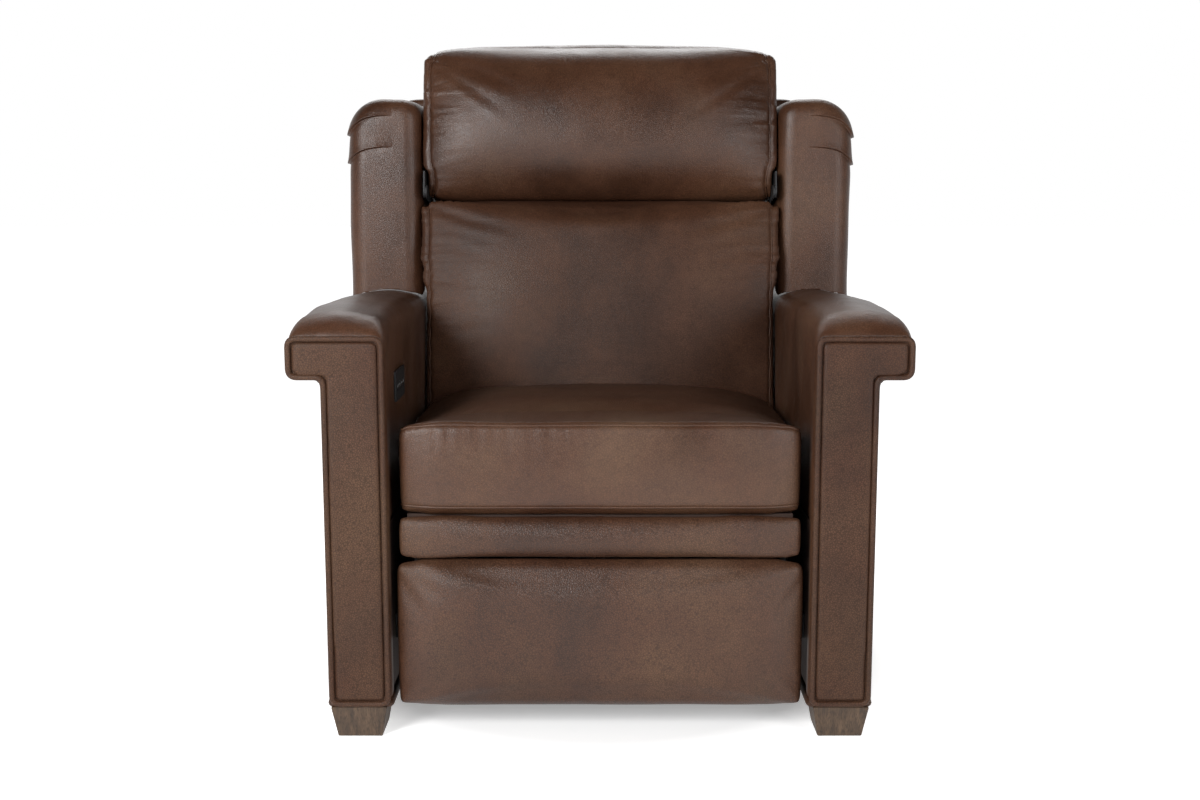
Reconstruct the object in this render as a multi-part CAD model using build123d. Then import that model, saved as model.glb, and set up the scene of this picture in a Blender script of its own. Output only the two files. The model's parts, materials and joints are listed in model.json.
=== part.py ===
"""Power wall-hugger recliner: a fixed leather arm frame, and inside it a carriage that slides forward
while the winged back leans, a footrest that swings out on links, and a headrest that tilts.

Millimetres, +X to the sitter's left, +Y to the back, +Z up.
The origin is on the floor, under the middle of the chair.
"""
from build123d import *
from math import cos, radians, sin, tan
import os

# ---- overall layout ----
seat_opening = 654          # between the two arms
arm_width = 92              # arm body, inside to outside
arm_overhang = 52           # arm cap past the arm body, on the outside
arm_length = 868            # front facing to the arm's rear end
chair_depth = 960           # arm front to the rearmost point of the back
foot_height = 50
fit = 0.3                   # running gap beside a soft piece
plate_gap = 0.5             # gap between stacked link plates
pin_fit = 0.05              # radial clearance of a pin in its hole

# ---- arms ----
facing_height = 627         # top of the flat front facing
facing_thickness = 18
cap_height = 67             # depth of the overhanging cap on the facing
facing_corner = 14          # rounded corners of the cap
arm_crown = 31              # how far the padded top rises behind the facing
arm_round = 30              # round shoulders of the padded top
nose_round = 22             # the same near the facing, where the top still rises
nose_rise = 3
crown_rise = 6              # rise of the top between its shoulders
crown_run = 70              # length over which the top rises to its full height
crown_end_drop = 6          # how much lower the top is again at the arm's rear
cover_wall = 14             # padding and leather round the wooden frame
arm_post = 70               # front and rear posts of the arm frame, along the arm
arm_rail = 60               # height of the arm frame's bottom rail
cap_board = 26              # timber under the padded top
bare_height = 330           # below this the frame is bare on the seat side
bare_setback = 60

# ---- feet ----
foot_top = 88
foot_bottom = 70
foot_setback = 2            # foot top behind the facing
rear_foot_setback = 40      # rear foot top from the arm's rear end

# ---- tracks and carriage ----
track_depth = 25            # across, inside the arm
track_wall = 3
track_length = 560
track_front = 96            # from the arm front to the track's front end
track_center_height = 152
roller_radius = 16
roller_width = 12
roller_gap = 0.8            # roller to the track's lips
roller_spacing = 330
roller_front = 286          # front roller axle from the arm front
axle_radius = 5
side_plate = 4
side_plate_clear = 4        # side plate to the track's open side
shoulder_radius = 9
side_plate_front = 88
side_plate_rear = 706
side_plate_bottom = 128
side_plate_top = 325
window_margin = 40          # window in the side plate, from the roller axles
window_rise = 100
window_drop = 30
hinge_ear_front = 632
hinge_ear_top = 352
deck_thickness = 22
deck_rail_width = 40
deck_front = 45
deck_rear = 586
front_rail_height = 66
tube = 25                   # square steel cross tubes
tube_wall = 2
base_tube_height = 72       # underside of the fixed cross tubes above the floor
base_tube_front = 352
base_tube_rear = 792
carriage_tube_setback = 470
carriage_tube_bottom = 190
rear_panel = 22
rear_panel_bottom = 60
rear_panel_top = 280

# ---- footrest linkage, folded ----
link_plate = 4
link_width = 14
link_pin = 4
lift_length = 170
lift_pivot_setback = 166
lift_pivot_height = 245
lift_rest_angle = 235       # from straight ahead, turning upward
lift_swing = 131
reach_length = 210          # front stretch of the link that carries the footrest
reach_tail = 50             # its tail behind the lift link
reach_angle = 26
torque_radius = 11
link_brace = 60             # cross brace from the footrest pivot
brace_radius = 8
crank_radius = 45
crank_x = -110
crank_plate = 5
fork_slot = 17
fork_plate = 6
fork_height = 211
fork_cheek = 8              # steel on each side of the fork's slot
fork_low = 24               # fork below the actuator's line
fork_high = 20
loose_pin = 0.4             # extra play of the pin that closes the linkage

# ---- footrest board ----
board_thickness = 12
board_margin = 12           # board inside the pad's edges
ear_radius = 15
flange_width = 30
flange_half_height = 60
flange_plate = 3

# ---- actuators ----
actuator_rod = 6
actuator_tube = 13
actuator_fit = 0.4
recline_x = 120
recline_rod_length = 230
recline_tube_gap = 62
footrest_tube_gap = 42
footrest_rod_length = 150
motor_width = 62
motor_radius = 20
motor_drop = 3              # motor below the actuator's line
motor_inset = 26            # motor from the gearbox's rear
gearbox_half = 24
gearbox_length = 60
gearbox_high = 18
barrel_inset = 30           # barrel's end inside the gearbox
bore_end = 12               # solid metal behind the bore
foot_length = 40

# ---- springs ----
spring_count = 5
spring_spacing = 100
spring_half_width = 22
spring_waves = 9
spring_wire = 1.9

# ---- back ----
hinge_setback = 668         # recline hinge from the arm front
hinge_height = 330
back_rake = 10              # lean of the inner back at rest
recline_angle = 24
back_post_width = 30
back_post_depth = 42
back_post_front = -46       # post face from the hinge, square to the raked back
back_post_bottom = 40
back_post_top = 660
top_pad_drop = 8            # back top pad below the shell's top edge
top_pad_ease = 6
top_pad_rise = 22
back_spring_pitch = 90
back_rail_height = 70
bracket_width = 60
hinge_pin_radius = 7

# ---- upholstery ----
seat_half_width = 303
seat_front = 20
seat_rear = 484
seat_top = 485              # along the cushion's front and rear edges
seat_crown = 13
seat_face_bulge = 9
cushion_pull = 10           # how far a cushion's corners draw in
strip_half_width = 302
strip_bottom = 279
strip_top = 345
strip_front = 14
pad_half_width = 313
pad_bottom = 51
pad_top = 276
pad_front = 4
pad_thickness = 42
lumbar_half_width = 322
lumbar_low = 58
seam_height = 473           # seam between the two back cushions, up the raked back
cushion_face = -184         # face of the lumbar cushion along its edges, from the hinge line
lumbar_bulge = 12
head_face = -178
head_bulge = 22
head_crown = 16
strip_bulge = 8
pad_bulge = 8
head_half_width = 318
lumbar_reach = 333          # widest part of the lumbar cushion, above the arms
lumbar_swell_low = 354
head_reach = 328
head_swell_low = seam_height + 60      # clear of the headrest hinge plates
swell_rear = -76
head_top = 770
seam_gap = 5                # between the two back cushions

# ---- headrest mechanism ----
head_board = 12
head_pivot_front = -170
head_pivot_rise = 14        # pivot above the seam
head_plate = 3
head_plate_inner = 323
head_arm_width = 22
head_arm_rise = 14          # arm above the headrest pivot
head_eye_reach = 145        # eye behind the headrest pivot
head_eye_drop = 39          # eye below the headrest pivot
head_eye_shift = 2.5
head_eye_play = 3.6
head_pin = 3.5
head_lug_plate = 6
head_lug_width = 20
head_lug_rise = 20          # lug's seat above the board's lower edge
head_lug_depth = 12
head_boss = 12              # radius round the headrest pivot
head_bracket_rear = -12     # hinge plate's rear edge, from the recline hinge line
head_spacer_front = -40
head_board_inset = 24       # board's top below the cushion's top
slim_motor_radius = 9
slim_motor_length = 40
slim_gearbox_half = 18
slim_gearbox_depth = 14
slim_gearbox_length = 60
saddle_half = 14
saddle_length = 40
headrest_rod_x = 10
headrest_rod_length = 152
headrest_tube_gap = 48
mid_rail_thickness = 8
mid_rail_low = 230

# ---- switch panel on the inside of the right arm ----
panel_setback = 137
panel_length = 96
panel_low = 508
panel_height = 48
panel_proud = 3
panel_depth = 18
button_radius = 6
button_count = 4
button_spacing = 21
button_travel = 1.5
button_proud = 2
button_depth = 8
panel_lip = 4               # plate beyond its housing
inlet_x = -230
inlet_height = 110
inlet_half_width = 16
inlet_half_height = 12
inlet_proud = 3
socket_half_width = 9
socket_half_height = 5
socket_floor = 6            # solid plastic behind the socket
supply_left = -190
supply_right = -60
supply_height = 42
supply_corner = 6
supply_front_overhang = 20   # past the rear cross tube
supply_rear_overhang = 10

# ---- wings and outer back ----
wing_outer = 470
wing_inner = 334
wing_setback = 590
wing_bottom = 661
wing_top = 1010
wing_corner = 66
underside_lead = 60         # underside cut starts ahead of the wing
shell_half_width = wing_outer - 8      # outer back inside the wings' outer faces
shell_lower_half_width = 312
shell_top = 1030
shell_corner = 86
shell_foot = 300
shell_thickness = 34
shell_lower_rear = 850
wing_nose = 30              # roundness of the wing's front
wing_inner_corner = 34
bracket_top = 200
rib_low = 60
shell_top_swell = 10        # extra thickness at the top of the outer back
shell_bend_height = 640     # below this the outer back is upright, above it leans

# ---- sizes worked out from the ones above ----
front = -chair_depth / 2
arm_inner = seat_opening / 2
arm_outer = arm_inner + arm_width
cap_outer = arm_outer + arm_overhang
cap_underside = facing_height - cap_height
track_inner = arm_inner - track_depth
side_plate_outer = track_inner - side_plate_clear
side_plate_inner = side_plate_outer - side_plate
roller_inner = track_inner + 3
hinge_y = front + hinge_setback
layer = link_plate + plate_gap
lift_x = side_plate_inner - layer
reach_x = lift_x - layer
ear_x = reach_x - layer
deck_top = side_plate_top + deck_thickness
seat_bottom = deck_top + fit
slope = tan(radians(recline_angle))
head_pivot = (head_pivot_front, seam_height + head_pivot_rise)
head_eye = (head_pivot[0] + head_eye_reach, head_pivot[1] - head_eye_drop)
head_board_low = seam_height + seam_gap / 2 + 6
mid_rail_front = back_post_front + back_post_depth - mid_rail_thickness
button_floor = arm_inner + button_depth


def polar(start, length, degrees):
    """The point at a length from start, at an angle from straight ahead, as (setback, height)."""
    return (start[0] - length * cos(radians(degrees)), start[1] + length * sin(radians(degrees)))


lift_pivot = (lift_pivot_setback, lift_pivot_height)
elbow = polar(lift_pivot, lift_length, lift_rest_angle)
tail = polar(elbow, -reach_tail, reach_angle)
control_pivot = polar(lift_pivot, -reach_tail, reach_angle)
footrest_pivot = polar(elbow, reach_length, reach_angle)
crank_pin = polar(lift_pivot, crank_radius, 270 - lift_swing / 2)


# ---- small helpers ----
def block(x0, x1, y0, y1, z0, z1):
    """A box between two corners, with y measured from the arm front."""
    return Pos((x0 + x1) / 2, front + (y0 + y1) / 2, (z0 + z1) / 2) * Box(x1 - x0, y1 - y0, z1 - z0)


def rod(x0, x1, y, z, radius):
    """A round bar across the chair, with y measured from the arm front."""
    return Pos((x0 + x1) / 2, front + y, z) * Rot(0, 90, 0) * Cylinder(radius, x1 - x0)


def pair(shape):
    """The shape and its mirror image on the other side of the chair."""
    return Compound(children=[shape, mirror(shape, about=Plane.YZ)])


def other_side(shape):
    return mirror(shape, about=Plane.YZ)


def joined(*shapes):
    """One solid out of touching shapes."""
    whole = shapes[0]
    for shape in shapes[1:]:
        whole = whole + shape
    return whole


def group(*shapes):
    """Separate solids in one node."""
    solids = []
    for shape in shapes:
        solids += shape.solids()
    return Compound(children=solids)


def link_bar(x, thickness, ends, width, hole):
    """A flat steel link across x, with round ends and a pin hole at each of its two ends."""
    (y0, z0), (y1, z1) = ends
    length = ((y1 - y0) ** 2 + (z1 - z0) ** 2) ** 0.5
    turn = Vector(y1 - y0, z1 - z0, 0).get_signed_angle(Vector(1, 0, 0), Vector(0, 0, -1))
    flat = SlotCenterToCenter(length, width) - GridLocations(length, 0, 2, 1) * Circle(hole)
    bar = extrude(Plane.YZ * Rot(0, 0, turn) * flat, thickness)
    return Pos(x, front + (y0 + y1) / 2, (z0 + z1) / 2) * bar


def side_arc(a, b, bulge):
    """A straight edge from a to b, or one that bulges to its right by the given rise."""
    if abs(bulge) < 0.01:
        return Line(a, b)
    run = (Vector(b) - Vector(a)).normalized()
    outward = run.cross(Vector(1, 0, 0))
    return ThreePointArc(a, (Vector(a) + Vector(b)) * 0.5 + outward * bulge, b)


def soft_slice(x, y0, y1, z0, z1, front_bulge, top_bulge, back_bulge=0, bottom_bulge=0):
    """One upright slice through a cushion at x, with y from the arm front and each side bulged."""
    a = (x, front + y0, z0)
    b = (x, front + y1, z0)
    c = (x, front + y1, z1)
    d = (x, front + y0, z1)
    edges = [side_arc(a, b, bottom_bulge), side_arc(b, c, back_bulge)]
    edges += [side_arc(c, d, top_bulge), side_arc(d, a, front_bulge)]
    return make_face(edges)


def leaned(shape):
    """Turns a shape that was made upright to the resting lean of the back, about its hinge."""
    hinge = Pos(0, hinge_y, hinge_height)
    return hinge * Rot(-back_rake, 0, 0) * hinge.inverse() * shape


# ---- fixed frame ----
def arm_slice(setback, crown, corner, rise):
    """One slice across the arm cover: body, overhanging cap and a padded top with round shoulders."""
    y = front + setback
    turn = facing_corner
    low = cap_underside
    middle = (arm_inner + cap_outer) / 2
    edge = crown - rise
    shoulder = edge - corner
    near = corner * 0.3
    edges = [
        Line((arm_inner, y, foot_height), (arm_outer, y, foot_height)),
        Line((arm_outer, y, foot_height), (arm_outer, y, low)),
        Line((arm_outer, y, low), (cap_outer - turn, y, low)),
        ThreePointArc((cap_outer - turn, y, low), (cap_outer - turn * 0.3, y, low + turn * 0.3),
                      (cap_outer, y, low + turn)),
        Line((cap_outer, y, low + turn), (cap_outer, y, shoulder)),
        ThreePointArc((cap_outer, y, shoulder), (cap_outer - near, y, edge - near),
                      (cap_outer - corner, y, edge)),
        ThreePointArc((cap_outer - corner, y, edge), (middle, y, crown), (arm_inner + corner, y, edge)),
        ThreePointArc((arm_inner + corner, y, edge), (arm_inner + near, y, edge - near),
                      (arm_inner, y, shoulder)),
        Line((arm_inner, y, shoulder), (arm_inner, y, foot_height)),
    ]
    return make_face(edges)


def arm_cover(with_panel):
    """Padded leather cover of one arm, hollow for its timber frame and bare inside below the seat."""
    peak = facing_height + arm_crown
    full = facing_thickness + crown_run
    nose = loft([
        arm_slice(facing_thickness, facing_height, facing_corner, 1),
        arm_slice(facing_thickness + crown_run * 0.3, facing_height + arm_crown * 0.6, nose_round, nose_rise),
        arm_slice(full, peak, arm_round, crown_rise),
    ])
    run = loft([
        arm_slice(full, peak, arm_round, crown_rise),
        arm_slice(arm_length, peak - crown_end_drop, arm_round, crown_rise),
    ])
    cover = nose + run - arm_hollow()
    if with_panel:
        cover = cover - panel_pocket()
    return cover


def arm_hollow():
    """The space inside the cover that the arm's timber frame fills."""
    near = bare_setback
    far = arm_length - cover_wall
    low = block(arm_inner - 1, arm_outer - cover_wall, near, far, foot_height + cover_wall, bare_height)
    high = block(arm_inner + cover_wall, arm_outer - cover_wall, near, far, bare_height, cap_underside)
    cap = block(arm_inner + cover_wall, cap_outer - cover_wall, near, far, cap_underside + cover_wall,
                cap_underside + cover_wall + cap_board)
    neck = block(arm_inner + cover_wall, arm_outer - cover_wall, near, far, cap_underside,
                 cap_underside + cover_wall)
    return joined(low, high, neck, cap)


def arm_frame():
    """Timber frame of one arm: two posts, a bottom rail, the wide cap board and the bare side rail."""
    near = bare_setback
    far = arm_length - cover_wall
    inside = arm_inner + cover_wall
    outside = arm_outer - cover_wall
    low = foot_height + cover_wall
    board_low = cap_underside + cover_wall
    front_post = block(inside, outside, near, near + arm_post, low, board_low)
    rear_post = block(inside, outside, far - arm_post, far, low, board_low)
    bottom_rail = block(arm_inner, outside, near, far, low, low + arm_rail)
    side_rail = block(arm_inner, inside + arm_rail / 4, near, far, low + arm_rail, bare_height)
    cap = block(inside, cap_outer - cover_wall, near, far, board_low, board_low + cap_board)
    return joined(front_post, rear_post, bottom_rail, side_rail, cap)


def arm_facing():
    """Flat front panel of one arm, with the outline of the arm and its overhanging cap."""
    corners = [(arm_inner, foot_height), (arm_outer, foot_height), (arm_outer, cap_underside),
               (cap_outer, cap_underside), (cap_outer, facing_height), (arm_inner, facing_height)]
    panel = extrude(Plane.XZ * Polygon(*corners, align=None), facing_thickness)
    panel = Pos(0, front + facing_thickness, 0) * panel
    cap_edges = [e for e in panel.edges().filter_by(Axis.Y) if e.center().Z > cap_underside - 1
                 and e.center().X != arm_outer]
    cap_edges = [e for e in cap_edges if abs(e.center().X - arm_outer) > 1]
    panel = fillet(cap_edges, facing_corner)
    return fillet(panel.faces().sort_by(Axis.Y)[0].edges(), facing_thickness / 4)


def foot(near):
    """One tapered square wooden foot under an arm."""
    middle = (arm_inner + arm_outer) / 2
    top = Plane((middle, front + near + foot_top / 2, foot_height))
    bottom = Plane((middle, front + near + foot_top / 2, 0))
    return loft([bottom * Rectangle(foot_bottom, foot_bottom), top * Rectangle(foot_top, foot_top)])


def square_tube(near, bottom, half_span):
    """A square steel tube across the chair, open at both ends."""
    outside = block(-half_span, half_span, near, near + tube, bottom, bottom + tube)
    w = tube_wall
    inside = block(-half_span, half_span, near + w, near + tube - w, bottom + w, bottom + tube - w)
    return outside - inside


def track():
    """C-shaped track inside one arm, welded from a web and two lips and open towards the carriage."""
    half = roller_radius + roller_gap
    outside = half + track_wall
    web_face = arm_inner - track_wall
    rear = track_front + track_length
    low = track_center_height - outside
    high = track_center_height + outside
    web = block(web_face, arm_inner, track_front, rear, low, high)
    lower_lip = block(track_inner, web_face, track_front, rear, low, low + track_wall)
    upper_lip = block(track_inner, web_face, track_front, rear, high - track_wall, high)
    return group(web, lower_lip, upper_lip)


def rear_board():
    """Upholstered board that closes the frame at the back, below the leaning back."""
    board = block(-arm_inner, arm_inner, arm_length - rear_panel, arm_length, rear_panel_bottom,
                  rear_panel_top)
    return board - inlet_body(arm_length)


# ---- carriage ----
def side_plate_left():
    """Steel side plate of the carriage with its roller axles, hinge ear and link pins."""
    plate = block(side_plate_inner, side_plate_outer, side_plate_front, side_plate_rear,
                  side_plate_bottom, side_plate_top)
    ear = block(side_plate_inner, side_plate_outer, hinge_ear_front, side_plate_rear,
                side_plate_bottom, hinge_ear_top)
    window = block(side_plate_inner - 1, side_plate_outer + 1, roller_front + window_margin,
                   roller_front + roller_spacing - window_margin, side_plate_bottom + window_rise,
                   side_plate_top - window_drop)
    plate = joined(plate, ear) - window
    for index in range(2):
        y = roller_front + index * roller_spacing
        plate = plate + rod(side_plate_outer, roller_inner - plate_gap, y, track_center_height,
                            shoulder_radius)
        plate = plate + rod(side_plate_outer, roller_inner + roller_width + 2, y, track_center_height,
                            axle_radius)
    bracket_x = side_plate_inner - layer
    plate = plate + rod(bracket_x, side_plate_inner, hinge_setback, hinge_height, hinge_pin_radius)
    plate = plate + rod(lift_x, side_plate_inner, *lift_pivot, link_pin)
    return plate + rod(lift_x, side_plate_inner, *control_pivot, link_pin)


def roller(index):
    """One track roller on its axle."""
    y = roller_front + index * roller_spacing
    wheel = rod(roller_inner, roller_inner + roller_width, y, track_center_height, roller_radius)
    return wheel - rod(roller_inner - 1, roller_inner + roller_width + 1, y, track_center_height,
                       axle_radius + pin_fit)


def seat_frame():
    """Timber deck: two side rails on the side plates, a tall front rail and a rear rail."""
    inside = side_plate_outer - deck_rail_width
    side = block(inside, side_plate_outer, deck_front, deck_rear, side_plate_top, deck_top)
    front_rail = block(-side_plate_outer, side_plate_outer, deck_front, deck_front + deck_thickness,
                       deck_top - front_rail_height, deck_top)
    rear_rail = block(-side_plate_outer, side_plate_outer, deck_rear - deck_thickness, deck_rear,
                      side_plate_top, deck_top)
    return joined(front_rail, side, other_side(side), rear_rail)


def zigzag(length, half_width, waves, wire):
    """A flat sinuous spring along +Y from the origin, in the XY plane."""
    step = length / (2 * waves + 1)
    points = [(0, 0, 0), (0, step / 2, 0)]
    for index in range(2 * waves):
        side = half_width if index % 2 else -half_width
        points.append((side, step * (index + 0.5), 0))
        points.append((side, step * (index + 1.5), 0))
    points += [(0, step * (2 * waves + 0.5), 0), (0, length, 0)]
    path = FilletPolyline(*points, radius=step * 0.3)
    return sweep(Plane((0, 0, 0), z_dir=(0, 1, 0)) * Circle(wire), path=path)


def seat_springs():
    """Sinuous springs from the front rail to the rear rail of the deck."""
    length = deck_rear - deck_front - 2 * deck_thickness
    height = deck_top - 2 * spring_wire
    springs = []
    for index in range(spring_count):
        x = (index - (spring_count - 1) / 2) * spring_spacing
        spring = zigzag(length, spring_half_width, spring_waves, spring_wire)
        springs.append(Pos(x, front + deck_front + deck_thickness, height) * spring)
    return group(*springs)


def recline_rod():
    """Rod of the recline actuator, fixed to the carriage's cross tube."""
    y = carriage_tube_setback + tube
    height = carriage_tube_bottom + tube / 2
    return Pos(recline_x, front + y + recline_rod_length / 2, height) * Rot(90, 0, 0) * Cylinder(
        actuator_rod, recline_rod_length)


def lengthwise_rod(x, y0, y1, z, radius):
    """A round bar along the chair."""
    return Pos(x, front + (y0 + y1) / 2, z) * Rot(90, 0, 0) * Cylinder(radius, y1 - y0)


def recline_actuator():
    """Fixed actuator behind the carriage: tube, gearbox and motor on the rear cross tube."""
    height = carriage_tube_bottom + tube / 2
    bore = actuator_rod + actuator_fit
    tube_front = carriage_tube_setback + tube + recline_tube_gap
    rear = base_tube_rear
    left = recline_x - gearbox_half
    right = recline_x + gearbox_half
    low = height - gearbox_half
    barrel = lengthwise_rod(recline_x, tube_front, rear - barrel_inset, height, actuator_tube)
    gearbox = block(left, right, rear - gearbox_length, rear, low, height + gearbox_high)
    motor = rod(left - motor_width, left, rear - motor_inset, height - motor_drop, motor_radius)
    foot_block = block(left, right, rear - foot_length, rear + tube, base_tube_height + tube, low)
    whole = joined(gearbox, foot_block, barrel, motor)
    return whole - lengthwise_rod(recline_x, tube_front - 1, rear - bore_end, height, bore)


def footrest_actuator():
    """Footrest actuator on the front of the carriage's cross tube."""
    bore = actuator_rod + actuator_fit
    tube_front = crank_pin[0] + footrest_tube_gap
    near = carriage_tube_setback
    left = crank_x - gearbox_half
    right = crank_x + gearbox_half
    barrel = lengthwise_rod(crank_x, tube_front, near - barrel_inset, fork_height, actuator_tube)
    gearbox = block(left, right, near - gearbox_length, near, fork_height - gearbox_half,
                    fork_height + gearbox_high)
    motor = rod(right, right + motor_width, near - motor_inset, fork_height - motor_drop, motor_radius)
    whole = joined(gearbox, barrel, motor)
    return whole - lengthwise_rod(crank_x, tube_front - 1, near - bore_end, fork_height, bore)


def footrest_rod():
    """Rod of the footrest actuator with the open fork that pushes the crank pin."""
    near = crank_pin[0]
    half = fork_slot / 2 + fork_cheek
    fork = block(crank_x - fork_plate / 2, crank_x + fork_plate / 2, near - half, near + half,
                 fork_height - fork_low, fork_height + fork_high)
    slot = block(crank_x - fork_plate, crank_x + fork_plate, near - fork_slot / 2, near + fork_slot / 2,
                 fork_height - fork_low + fork_plate, fork_height + fork_high + 1)
    bar = lengthwise_rod(crank_x, near + half, near + half + footrest_rod_length, fork_height,
                         actuator_rod)
    return (fork - slot) + bar


# ---- footrest linkage ----
def footrest_crank():
    """Torque tube with the two lift links and the crank that the actuator pushes."""
    bar = rod(-lift_x, lift_x, *lift_pivot, torque_radius)
    bar = bar - rod(-lift_x - 1, lift_x + 1, *lift_pivot, torque_radius - tube_wall - 1)
    link = link_bar(lift_x, link_plate, (lift_pivot, elbow), link_width, link_pin + pin_fit)
    pin = rod(reach_x, lift_x, *elbow, link_pin)
    hub = rod(lift_x - 6, lift_x, *lift_pivot, torque_radius)
    ring = hub - rod(lift_x - 7, lift_x + 1, *lift_pivot, link_pin + pin_fit)
    whole = joined(bar, link, other_side(link), pin, other_side(pin), ring, other_side(ring))
    gap = fork_plate / 2 + 2
    for side in (crank_x - gap - crank_plate, crank_x + gap):
        arm = link_bar(side, crank_plate, (lift_pivot, crank_pin), 16, 1)
        whole = whole + arm
    core = rod(crank_x - gap - crank_plate, crank_x + gap + crank_plate, *lift_pivot,
               torque_radius - tube_wall - 1)
    whole = whole - core
    return whole + rod(crank_x - gap - crank_plate, crank_x + gap + crank_plate, *crank_pin, link_pin)


def control_links():
    """The two short links that keep the reach links at their angle."""
    link = link_bar(lift_x, link_plate, (control_pivot, tail), link_width, link_pin + pin_fit)
    return pair(link + rod(reach_x, lift_x + link_plate, *tail, link_pin - loose_pin))


def reach_links():
    """The two long links that carry the footrest, joined by a cross brace."""
    link = link_bar(reach_x, link_plate, (tail, footrest_pivot), link_width, link_pin + pin_fit)
    link = link - rod(reach_x - 1, reach_x + link_plate + 1, *elbow, link_pin + pin_fit)
    place = polar(footrest_pivot, -link_brace, reach_angle)
    brace = rod(-reach_x, reach_x, *place, brace_radius)
    return joined(brace, link, other_side(link))


def footrest_bracket():
    """Steel ear on the footrest board, with the pin that turns in the reach link."""
    y, z = footrest_pivot
    back = pad_front + pad_thickness + board_thickness
    ear = block(ear_x, ear_x + link_plate, back, y, z - ear_radius, z + ear_radius)
    ear = ear + rod(ear_x, ear_x + link_plate, y, z, ear_radius)
    flange = block(ear_x - flange_width, ear_x + link_plate, back, back + flange_plate,
                   z - flange_half_height, z + flange_half_height)
    pin = rod(ear_x + link_plate, reach_x + link_plate, y, z, link_pin)
    return joined(flange, ear, pin)


def footrest_board():
    """Timber board behind the footrest pad."""
    y = pad_front + pad_thickness
    half = pad_half_width - board_margin
    return block(-half, half, y, y + board_thickness, pad_bottom + board_margin, pad_top - board_margin)


# ---- back: made upright from the hinge, then leaned ----
def back_block(x0, x1, y0, y1, z0, z1):
    """A box in the back's own frame: y behind the hinge, z up the back."""
    return leaned(block(x0, x1, hinge_setback + y0, hinge_setback + y1, hinge_height + z0,
                        hinge_height + z1))


def back_rod(x0, x1, y, z, radius):
    return leaned(rod(x0, x1, hinge_setback + y, hinge_height + z, radius))


def back_point(y, z):
    """Where a point of the back's own frame lies when leaned, as (setback, height)."""
    lean = radians(back_rake)
    return (hinge_setback + y * cos(lean) + z * sin(lean), hinge_height - y * sin(lean) + z * cos(lean))


def shell_face(height):
    """Setback of the outer back's inner face at a height."""
    lower = shell_lower_rear - shell_thickness
    upper = chair_depth - shell_thickness - shell_top_swell
    share = (height - shell_bend_height) / (shell_top - shell_bend_height)
    return lower + max(0, share) * (upper - lower)


def shell_outline():
    """Side outline of the outer back as (setback, height): upright below the bend, leaning above."""
    return [(shell_lower_rear - shell_thickness, shell_foot), (shell_lower_rear, shell_foot),
            (shell_lower_rear, shell_bend_height), (chair_depth, shell_top - shell_thickness),
            (chair_depth - shell_thickness / 2, shell_top), (shell_face(shell_top), shell_top),
            (shell_face(0), shell_bend_height)]


def side_prism(points, x0, x1):
    """A solid between two x values from a side outline of (setback, height) points."""
    outline = [(front + y, z) for y, z in points]
    return Pos(x0, 0, 0) * extrude(Plane.YZ * Polygon(*outline, align=None), x1 - x0)


def underside_cut(x0, x1, drop=0):
    """Everything below the wing's underside, which rises to the rear by the recline angle."""
    far = chair_depth + 40
    rise = wing_bottom + slope * (far - wing_setback) - drop
    near = wing_setback - underside_lead
    return side_prism([(near, 0), (far, 0), (far, rise), (wing_setback, wing_bottom - drop),
                       (near, wing_bottom - drop)], x0, x1)


def outer_back():
    """Upholstered outer back: narrow between the arms, wide with rounded corners above them."""
    shell = side_prism(shell_outline(), -shell_half_width, shell_half_width)
    face = Plane.XZ * Pos(0, shell_top / 2) * RectangleRounded(2 * shell_half_width, shell_top,
                                                               shell_corner)
    shell = shell & (Pos(0, front + chair_depth + 50, 0) * extrude(face, chair_depth))
    side = underside_cut(shell_lower_half_width, shell_half_width + 10)
    return shell - side - other_side(side)


def wing():
    """Padded wing beside the back cushion, rounded at its front and outer top corner."""
    above = wing_top + 30
    gain = (shell_face(shell_top) - shell_face(0)) / (shell_top - shell_bend_height)
    start = shell_face(0) + gain * (wing_bottom - shell_bend_height - slope * wing_setback)
    meet = start / (1 - gain * slope)
    side = [(wing_setback, wing_bottom), (meet, wing_bottom + slope * (meet - wing_setback)),
            (shell_face(above), above), (wing_setback, above)]
    body = side_prism(side, wing_inner, wing_outer)
    tall = Rectangle(wing_outer - wing_inner, 2 * wing_top)
    outline = fillet(fillet(tall.vertices().sort_by(Axis.Y)[-2:].sort_by(Axis.X)[1], wing_corner)
                     .vertices().sort_by(Axis.Y)[-2:].sort_by(Axis.X)[0], wing_inner_corner)
    outline = Plane.XZ * Pos((wing_inner + wing_outer) / 2, 0) * outline
    body = body & (Pos(0, front + chair_depth, 0) * extrude(outline, chair_depth))
    nose = [e for e in body.edges() if abs(e.center().Y - front - wing_setback) < 0.5
            and e.center().Z > wing_bottom + 5]
    return fillet(nose, wing_nose)


def back_bracket():
    """Steel bracket from the recline hinge up the side of the back frame."""
    blade = back_block(lift_x, lift_x + link_plate, back_post_front, back_post_front + back_post_depth,
                       0, bracket_top)
    boss = back_rod(lift_x, lift_x + link_plate, 0, 0, bracket_width / 2)
    blade = blade + boss
    return blade - back_rod(lift_x - 1, lift_x + link_plate + 1, 0, 0, hinge_pin_radius + pin_fit)


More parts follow.
